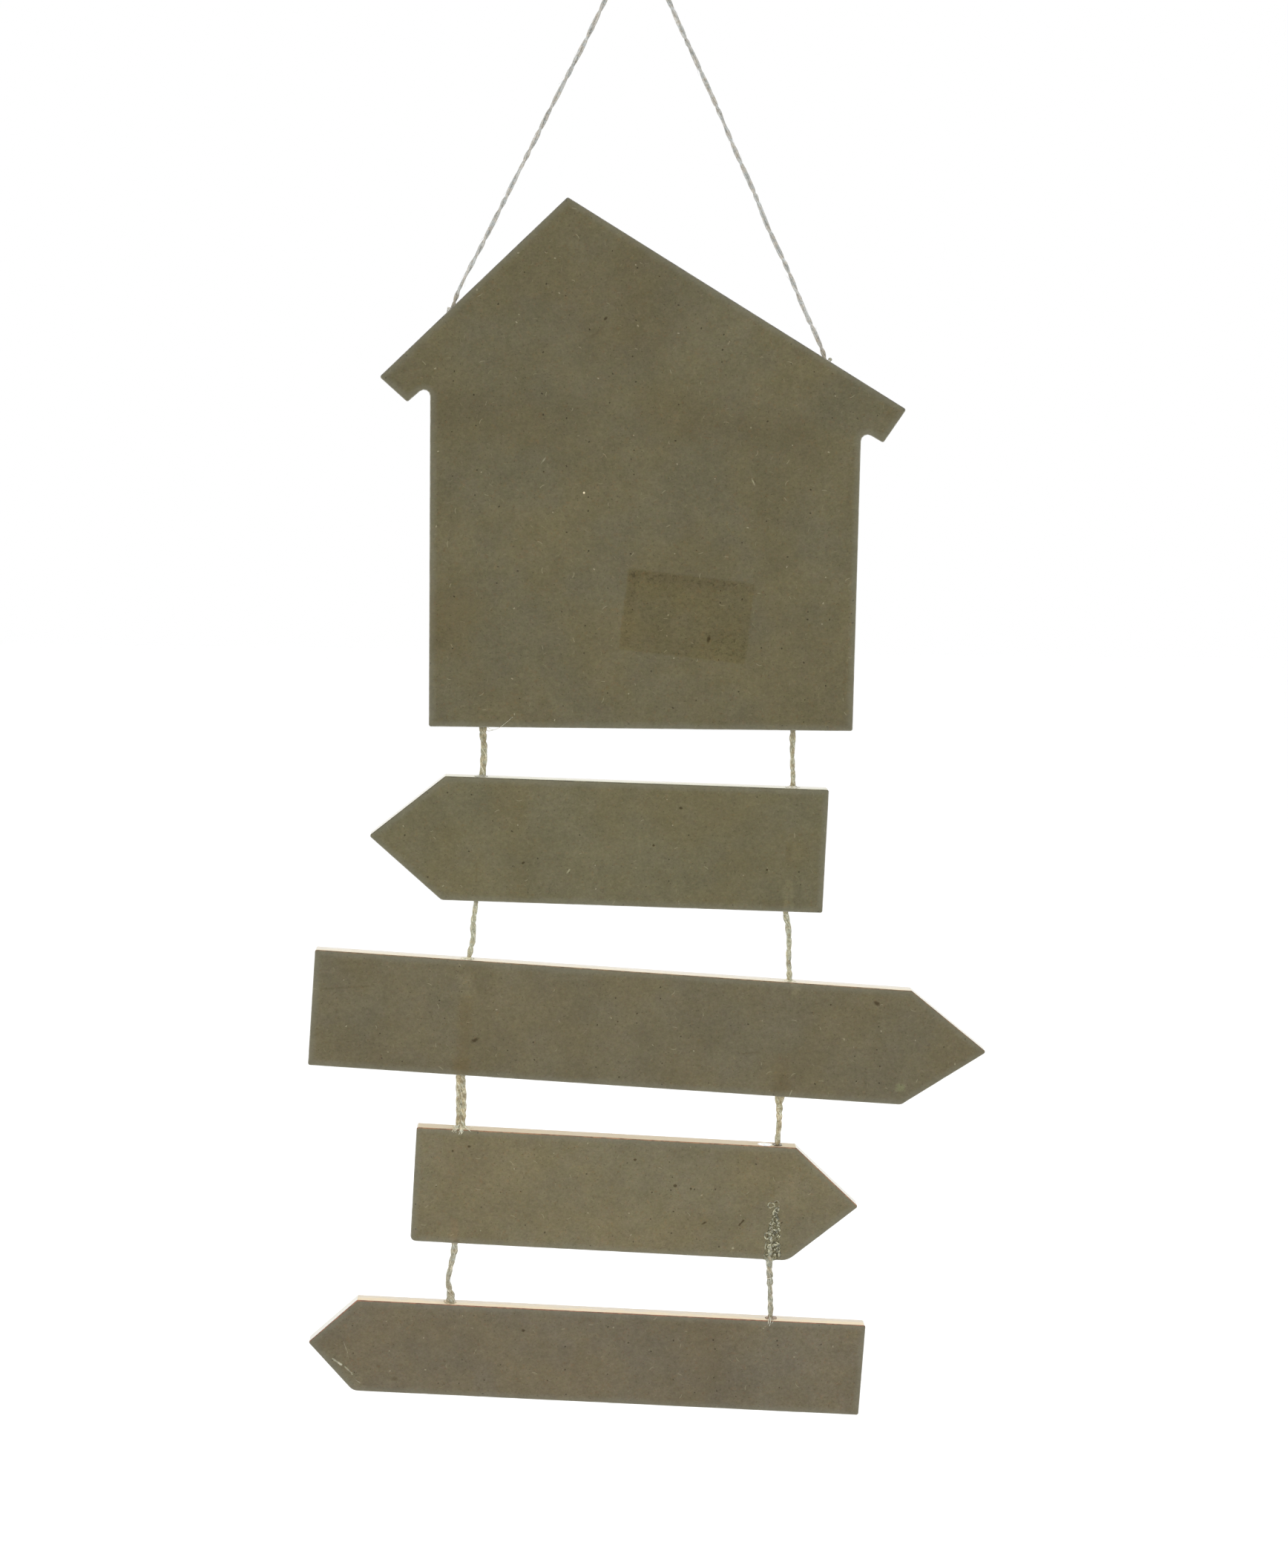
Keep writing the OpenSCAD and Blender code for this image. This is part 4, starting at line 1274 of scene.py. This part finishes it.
LINK_LOOKS = {
    # thickness, pitch, seed and phase, then shares of the run and the widths there
    "link_cord_1_left": TwineLook(
        2.25, 9.4, 21, 0.4, ((0, 0.40, 0.46, 0.6, 0.8, 1), (1.25, 1.25, 1.0, 1.1, 0.92, 0.85)),
        soak=(0.3, 0.4), spots=((3.0, 1.3, 0.4), (6.0, 1.6, 0.65), (9.5, 1.0, 0.35), (14.5, 1.5, 0.5))),
    "link_cord_1_right": TwineLook(
        1.95, 8.4, 22, 1.9, ((0, 0.40, 0.5, 0.7, 0.85, 1), (1.15, 1.15, 0.85, 0.88, 1.0, 1.05)),
        soak=(0.5, 0.9), spots=((2.0, 2.2, 0.5), (5.5, 1.0, 0.4), (8.5, 1.2, 0.5), (13.0, 1.0, 0.4))),
    "link_cord_2_left": TwineLook(
        2.0, 7.8, 23, 0.2, ((0, 0.38, 0.5, 0.6, 0.8, 1), (0.85, 0.85, 1.0, 1.0, 0.9, 1.25)), loose=0.04,
        soak=(0.5, 0.9), spots=((1.5, 1.6, 0.3), (9.0, 1.0, 0.3), (15.5, 1.2, 0.4))),
    "link_cord_2_right": TwineLook(
        2.0, 8.2, 24, 2.5, ((0, 0.38, 0.55, 0.68, 0.76, 1), (1.05, 1.1, 0.92, 0.95, 1.3, 1.1)), loose=0.03,
        soak=(0.3, 0.5), spots=((6.0, 1.0, 0.4), (9.5, 1.2, 0.55), (14.0, 1.2, 0.45), (20.0, 1.7, 0.75))),
    "link_cord_3_left_outer": TwineLook(
        2.1, 8.6, 25, 0.0, soak=(0.25, 0.6), aside=0.1,
        spots=((5.0, 1.2, 0.4), (9.5, 1.6, 0.45), (16.5, 1.5, 0.7))),
    "link_cord_3_left_inner": TwineLook(
        2.15, 8.9, 26, 1.4, soak=(0.35, 0.6), aside=-0.3,
        spots=((3.0, 1.8, 0.5), (8.0, 1.5, 0.65), (11.5, 1.4, 0.5), (17.0, 1.6, 0.8))),
    "link_cord_3_right": TwineLook(
        2.15, 7.9, 27, 0.9, ((0, 0.36, 0.44, 0.55, 0.75, 1), (1.7, 1.7, 1.15, 0.95, 0.95, 1.3)),
        soak=(0.5, 1.0), spots=((3.0, 1.2, 0.4), (9.5, 1.3, 0.5), (12.5, 1.8, 0.6))),
    "link_cord_4_left": TwineLook(
        2.1, 8.9, 28, 1.2, ((0, 0.38, 0.5, 0.6, 0.66, 0.72, 1), (1.2, 1.25, 0.9, 0.95, 1.1, 1.75, 1.6)),
        soak=(0.5, 0.8), spots=((3.0, 1.4, 0.35), (8.0, 1.0, 0.3), (18.0, 1.2, 0.4), (20.5, 1.4, 0.65))),
    "link_cord_4_right": TwineLook(
        2.1, 7.8, 29, 2.2, ((0, 0.5, 0.52, 0.545, 0.57, 1), (1.1, 1.15, 0.80, 0.8, 1.0, 1.0)),
        soak=(0.2, 1.0), spots=((3.5, 1.0, 0.4), (14.0, 1.2, 0.35), (18.0, 1.0, 0.3))),
}
# Pale fibres, dark fibres, painted shade of the grooves and how grimy, of the hanging twine
HANGING_TONES = ((242, 243, 245), (199, 199, 197), (159, 157, 151), 0.55)
JUTE_TONES = {
    # pale fibres, dark fibres and painted shade of the grooves, of the twines above each board
    1: ((250, 248, 228), (180, 173, 142), (126, 118, 90)),
    2: ((252, 252, 236), (198, 196, 168), (140, 135, 106)),
    3: ((254, 252, 234), (212, 202, 168), (146, 132, 98)),
    4: ((250, 249, 236), (184, 180, 160), (130, 124, 104)),
}
SOAK_REACH = 2.6        # of the glue from a hole's mouth along its twine
# Two loose fibres at the base of the house
HOUSE_FIBRE = (
    (-50.8, -1.5, -268.2), (-48.6, -3.1, -269.4), (-46.0, -3.12, -268.6), (-43.4, -3.12, -266.6),
    (-41.2, -3.1, -264.6))
HOUSE_STUB = ((-52.0, -1.0, -268.6), (-50.2, -2.4, -269.9), (-48.2, -2.9, -269.6))


def mouth_of(hole_name):
    hole = next(h for h in HOLES if h[0] == hole_name)
    start, axis, _, _ = hole_geometry(hole)
    return crossing(front_outline(hole[1]), start, axis)[2]


def loose_ends(strands, name, seed, path, run, head, foot):
    """The stray fibres that stand out in the photo, each on its own twine."""
    covered = np.linalg.norm(head - path[0])
    if name == "link_cord_1_left":
        loose_fibre(strands, HOUSE_FIBRE, radius=0.09, tone=0.7)
        loose_fibre(strands, HOUSE_STUB, radius=0.11, tone=0.1)
        lying_fibres(strands, foot, ((-3.2, -1.6), (-2.6, -2.2), (-2.9, -0.9)), seed=5)
    if name.startswith("link_cord_3_left"):
        frayed_foot(strands, foot, count=11, spread=3.6, seed=seed)
        lying_fibres(strands, foot, ((-6.5, -1.0), (-4.0, 0.5), (3.8, -1.8), (5.0, -0.6)), seed)
    if name == "link_cord_3_right":
        wrapped_fibre(strands, path, run, at=covered + 4.6, radius=1.0, thick=0.12, seed=2)
        lying_fibres(strands, foot, ((-2.4, -1.8), (2.2, -1.2)), seed=9)
    if name == "link_cord_4_right":
        wrapped_fibre(strands, path, run, at=covered + 7.6, radius=1.12, thick=0.14, seed=3)
        frayed_foot(strands, foot, count=4, spread=1.3, seed=12)


def make_link_cords():
    mouths = {}
    for hole in HOLES:
        for cord_name, which in hole[2]:
            mouths[cord_name, which] = mouth_of(hole[0])
    for name, look in LINK_LOOKS.items():
        strands = Strands()
        path, run = twisted(strands, LINK_ROUTES[name], look)
        stray_fibres(strands, path, run, look.d, count=60, seed=look.seed, reach=0.35, length=(1.0, 3.0))
        foot, head = mouths[name, "last"], mouths[name, "first"]
        strands.soaked = [(head, SOAK_REACH, look.soak[0]), (foot, SOAK_REACH, look.soak[1])]
        for down, reach, strength in look.spots:
            at = path[np.argmin(abs(run - np.linalg.norm(head - path[0]) - down))]
            strands.soaked.append((at + np.array((0.3 * math.sin(down), -0.9, 0)), reach, strength))
        loose_ends(strands, name, look.seed, path, run, head, foot)
        k = int(name.split("_")[2])
        obj = strands.build(name + "_twine", jute("jute_" + name, *JUTE_TONES[k]))
        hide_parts(name)
        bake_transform(obj)


# Glue

GLUE_SIDES = 32
GLUE_FLOOR = 1.0        # from the blind end of a hole to its glue
WALL_GAP = 0.1          # between the glue and the wall of its hole
FACE_GAP = 0.06         # by which the glue stays behind the faces of the board
INNER_RADIUS = TWINE_D * 0.3    # at which a collar ends, inside the twine
# Height over the edge from which glue follows the edge's slope, is ragged, and may stand wider than the board
SLOPED_FROM, RAGGED_FROM, FREE_FROM = -0.3, -0.2, 1.0
RAGGED_FILM, RAGGED_REST = 1.6, 0.7
OPEN_SLEEVE = [(-0.5, 1.1)]     # height and radius of the glue where the hole is broken out
BROKEN_OUT = ("board_3_base_glue_right",)
# Height over the edge and radius as a share of the flare, up a collar of glue
FLUSH = ((-0.10, 0.98), (-0.02, 0.80), (-0.12, 0.55))
FILM = ((0.02, 1.0), (0.10, 0.88), (0.16, 0.68), (0.30, 0.52), (0.55, 0.46))
TRUMPET = ((0.0, 1.0), (0.22, 0.74), (0.55, 0.57), (1.0, 0.47), (1.7, 0.41), (2.6, 0.38))
CREAM = (218, 212, 184)
BROWN_GLUE = (134, 122, 88)
PLAIN_GLUE = (FLUSH, 1.9, 0, BROWN_GLUE)
GLUE_LOOKS = {
    # form, flare, lean along the edge and colour, where the glue isn't plain
    "roof_glue_right": (FLUSH, 1.9, 0, (152, 150, 130)),
    "board_1_top_glue_left": (FILM, 2.4, -0.7, (186, 182, 164)),
    "board_1_top_glue_right": (FILM, 2.6, 0.1, (204, 199, 180)),
    "board_2_top_glue_left": (FILM, 2.3, -0.8, CREAM),
    "board_2_top_glue_right": (FILM, 2.2, 0.2, CREAM),
    "board_2_base_glue_left": (FLUSH, 2.1, 0, BROWN_GLUE),
    "board_2_base_glue_right": (TRUMPET, 1.9, 0, CREAM),
    "board_3_top_glue_left": (FILM, 2.6, 0, CREAM),
    "board_3_top_glue_right": (FILM, 1.5, 0.1, (98, 82, 58)),
    "board_3_base_glue_right": (TRUMPET, 2.6, 0, (190, 190, 168)),
    "board_4_top_glue_left": (FILM, 2.3, -0.3, (196, 180, 146)),
    "board_4_top_glue_right": (FILM, 2.2, 0.4, (150, 124, 96)),
}
# Worms of torn fibre and glue in the torn strip of board 3: thickness, then points x, z
TORN_WORMS = (
    (0.36, (59.9, -450.6), (59.7, -449.5), (59.0, -449.4), (58.4, -450.1), (58.0, -451.1), (58.1, -452.1)),
    (0.46, (57.5, -453.4), (57.8, -453.8)),
    (0.28, (59.3, -453.2), (59.4, -454.5)),
    (0.26, (56.5, -455.0), (57.4, -455.8), (58.0, -455.2)),
    (0.28, (59.8, -454.6), (59.5, -456.0)),
    (0.32, (56.5, -457.7), (57.3, -456.7)),
    (0.36, (59.8, -457.1), (60.7, -458.3)),
    (0.42, (58.0, -457.7), (59.1, -458.0), (59.7, -459.2)),
    (0.48, (56.5, -459.1), (57.1, -459.9)),
    (0.36, (55.8, -461.4), (56.1, -461.6)),
    (0.24, (59.7, -460.2), (59.7, -460.7)),
    (0.28, (58.7, -460.9), (58.9, -461.3)),
    (0.38, (58.0, -464.5), (58.5, -463.7), (59.4, -463.7), (60.0, -464.5)),
    (0.36, (58.4, -465.5), (59.2, -465.4)),
    (0.28, (56.4, -465.2), (56.7, -466.6)),
    (0.22, (57.1, -463.3), (57.0, -464.9)),
    (0.14, (55.3, -462.8), (55.2, -464.2), (55.1, -465.7)),
    (0.34, (54.9, -466.8), (55.1, -467.0)),
    (0.32, (61.2, -466.9), (60.2, -467.9)),
    (0.14, (60.4, -465.6), (60.9, -467.0)),
    (0.50, (58.4, -467.6), (59.4, -467.6)),
    (0.18, (54.7, -467.5), (55.2, -468.4), (55.9, -468.8)),
    (0.32, (56.3, -468.0), (56.6, -468.2)),
    (0.15, (58.6, -462.6), (59.8, -462.9), (60.2, -464.3)),
    (0.20, (57.5, -461.7), (57.8, -462.9)),
    (0.20, (57.3, -465.9), (58.0, -466.7)),
    (0.16, (56.3, -463.8), (56.4, -464.9)),
    (0.18, (58.2, -459.0), (58.3, -460.3)),
)
# Loops of frayed fibre there: x, z, half width, half height, thickness
TORN_LOOPS = (
    (56.9, -448.2, 1.1, 1.0, 0.15), (59.2, -448.0, 0.9, 1.5, 0.11), (55.8, -460.1, 0.95, 1.15, 0.28),
)
WORM_TIP = 0.135        # how blunt the ends of a worm are
WORM_STEP = 0.18        # spacing of its rings
WORM_SIDES = 10
LOOP_POINTS = 14
ROOF_DROP = ((1.4, -0.5, -1.0), (1.8, -0.6, -0.3), (1.9, -0.6, 0.3))    # beside the mouth of its hole
TORN_BITS = 48          # smaller bits, scattered between them
OTHER_LOOKS = {
    # second material of a run of glue: colour, darker share and size of its clouds
    "board_3_base_glue_right": ((198, 195, 166), 0.50, 0.9),
    # near-white: clear glue with the bright light seen through it painted in
    "board_3_top_glue_right": ((247, 246, 241), 0.93, 1.3),
}


class Lathe:
    """Gathers stacks of rings into one mesh. Each stack is a closed solid with a material of its own."""

    def __init__(self):
        self.points, self.faces, self.kinds = [], [], []

    def rings(self, rows, kind=0):
        """Close a stack of rings, each with the same number of points, into one solid."""
        self.faces += tube_faces(len(self.points), len(rows), len(rows[0]))
        self.kinds += [kind] * (len(self.faces) - len(self.kinds))
        for row in rows:
            self.points += list(row)

    def worm(self, points, thick, seed, kind=0):
        """An uneven round strip along a curve, with rounded ends."""
        path, run = smooth_path(points, WORM_STEP)
        share = run / run[-1]
        _, u, w = frames_along(path, first=(0, 1, 0.1))
        cap_run = np.minimum(run, run[-1] - run) / thick
        round_off = np.sqrt(np.clip(1 - (1 - np.clip(cap_run + WORM_TIP, 0, 1)) ** 2, 0.05, 1))
        rows = []
        for i in range(len(path)):
            r = thick * round_off[i] * (1 + 0.5 * wander(share[i] * 2.3, seed + 8))
            row = []
            for turn in 2 * math.pi * np.arange(WORM_SIDES) / WORM_SIDES:
                bumpy = 1 + 0.6 * noise.noise(Vector((math.cos(turn) + seed, math.sin(turn), run[i] * 1.6)))
                row.append(path[i] + r * bumpy * around(turn, u[i], w[i]))
            rows.append(row)
        self.rings(rows, kind)

    def loop(self, centre, half_w, half_h, thick, seed, kind=0):
        """A fibre bent into an uneven loop that lies about flat on the back face."""
        points = []
        for turn in np.linspace(0.3, 2 * math.pi * 0.96, LOOP_POINTS):
            uneven = 1 + 0.2 * wander(turn, seed)
            across, up = half_w * uneven * math.cos(turn), half_h * uneven * math.sin(turn)
            y = centre[1] - 0.05 * wander(turn, seed + 4)
            points.append((centre[0] + across, y, centre[2] + up))
        self.worm(points, thick, seed, kind=kind)


def torn_tangle(body):
    """The worms and loops of fibre in the torn strip, and smaller bits scattered between them."""
    back = -BOARD_T / 2
    for k, (thick, *points) in enumerate(TORN_WORMS):
        body.worm([(x, back + 0.10, z) for x, z in points], thick * 1.2, k, kind=1)
    for x, z, half_w, half_h, thick in TORN_LOOPS:
        body.loop((x, back + 0.04, z), half_w, half_h, thick, z, kind=1)
    rng = np.random.default_rng(12)
    foot, head = np.array(TORN_FOOT), np.array(TORN_TOP)
    for k in range(TORN_BITS):
        t = rng.uniform(0.0, 0.92)
        x, z = foot + t * (head - foot)
        x += rng.uniform(-0.95, 0.95) * np.interp(t, *TORN_WIDTHS)
        way, bend, size = rng.uniform(0, 2 * math.pi), rng.uniform(-0.8, 0.8), rng.uniform(0.25, 0.8)
        arc = []
        for r in (-1, 0, 1):
            turn = way + bend * r
            arc.append((x + size * r * math.cos(turn), back + 0.16, z + size * r * math.sin(turn)))
        body.worm(arc, rng.uniform(0.15, 0.30), k + 40, kind=1)


def glue_rings(hole, geometry, mouth, normal, edge_way):
    """Rings of a run of glue, from the blind end of its hole up to the top of its collar."""
    _, axis, radius, depth = geometry
    form, flare, lean, _ = GLUE_LOOKS.get(hole[0], PLAIN_GLUE)
    seed = HOLES.index(hole)
    e1, e2 = square_to(axis)
    sleeve = [(-depth + GLUE_FLOOR, radius - WALL_GAP), (-0.25, radius - WALL_GAP)]
    if hole[0] in BROKEN_OUT:
        sleeve = OPEN_SLEEVE
    top = (form[-1][0] + 0.15, INNER_RADIUS)
    face = BOARD_T / 2 - FACE_GAP
    most = RAGGED_FILM if form is FILM else RAGGED_REST
    rows = []
    for up, r in sleeve + [(up, flare * share) for up, share in form] + [top]:
        row = []
        for turn in 2 * math.pi * np.arange(GLUE_SIDES) / GLUE_SIDES:
            spot = Vector((math.cos(turn) * 0.9 + seed, math.sin(turn) * 0.9, max(up, 0) * 0.5 + seed * 3))
            ragged = 0.22 * noise.noise(spot) + 0.12 * noise.noise(spot * 2.7)
            ripple = 1 if up < RAGGED_FROM else 1 + ragged * most
            out = r * ripple * around(turn, e1, e2)
            p = mouth + axis * up + out
            if up > SLOPED_FROM:
                p = p - axis * (out @ normal) / (axis @ normal)
                p = p + edge_way * lean * smooth_step((r - INNER_RADIUS) / flare)
                p = p + normal * abs(ragged) * 0.3
            if up < FREE_FROM:
                p[1] = min(face, max(-face, p[1]))
            row.append(p)
        rows.append(row)
    return rows


def pale_puddle(mouth, normal, edge_way):
    """Rings of the flat puddle of clear glue beside the twine on top of board 3, whose near-white colour is
    the painted light seen through it.
    """
    puddle = [
        mouth + edge_way * (-4.6 + 2.9 * math.cos(t)) + np.array((0, 2.1 * math.sin(t) - 0.6, 0))
        for t in 2 * math.pi * np.arange(GLUE_SIDES) / GLUE_SIDES]
    heart = np.mean(puddle, axis=0)
    shape = ((1.0, -0.2), (1.0, 0.04), (0.86, 0.17), (0.5, 0.24))
    return [[heart + (p - heart) * share + normal * up for p in puddle] for share, up in shape]


def make_glue(hole):
    """A run of glue that fills its hole round the twine and ends in an uneven collar at the mouth."""
    geometry = hole_geometry(hole)
    _, _, mouth, normal = crossing(front_outline(hole[1]), *geometry[:2])
    edge_way = unit(np.cross(normal, (0, 1, 0)))
    edge_way = edge_way if edge_way[0] > 0 else -edge_way
    body = Lathe()
    body.rings(glue_rings(hole, geometry, mouth, normal, edge_way))
    if hole[0] in BROKEN_OUT:
        torn_tangle(body)
    if hole[0] == "roof_glue_right":
        body.worm([mouth + p for p in ROOF_DROP], thick=0.5, seed=3)
    if hole[0] == "board_3_top_glue_right":
        body.rings(pale_puddle(mouth, normal, edge_way), 1)
    materials = [set_glue(hole[0] + "_set", GLUE_LOOKS.get(hole[0], PLAIN_GLUE)[3])]
    if hole[0] in OTHER_LOOKS:
        materials.append(set_glue(hole[0] + "_pale", *OTHER_LOOKS[hole[0]]))
    obj = add_object(hole[0] + "_set", body.points, body.faces, materials, body.kinds)
    close_up(obj)
    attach(obj, BODY_OF[hole[1]])
    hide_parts(hole[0])


bpy.context.scene.view_settings.view_transform = "Standard"
make_camera()
make_world(ambient=0.80)
make_lamp("key", at=(-400, -1500, 900), aim=(0, 0, -250), size=900, watts=8)
make_lamp("behind", at=(200, 900, 1100), aim=(0, 0, -280), size=1200, watts=8)
make_floor()
make_hanging_cord()
make_link_cords()
for order, board_name in enumerate(BODY_OF):
    if board_name == "arrow_board_3":
        make_board(board_name, order + 1, torn_relief, (torn_points(), near_torn), TORN_FOOT, BROKEN_OUT)
    else:
        make_board(board_name, order + 1)
for each in HOLES:
    make_glue(each)
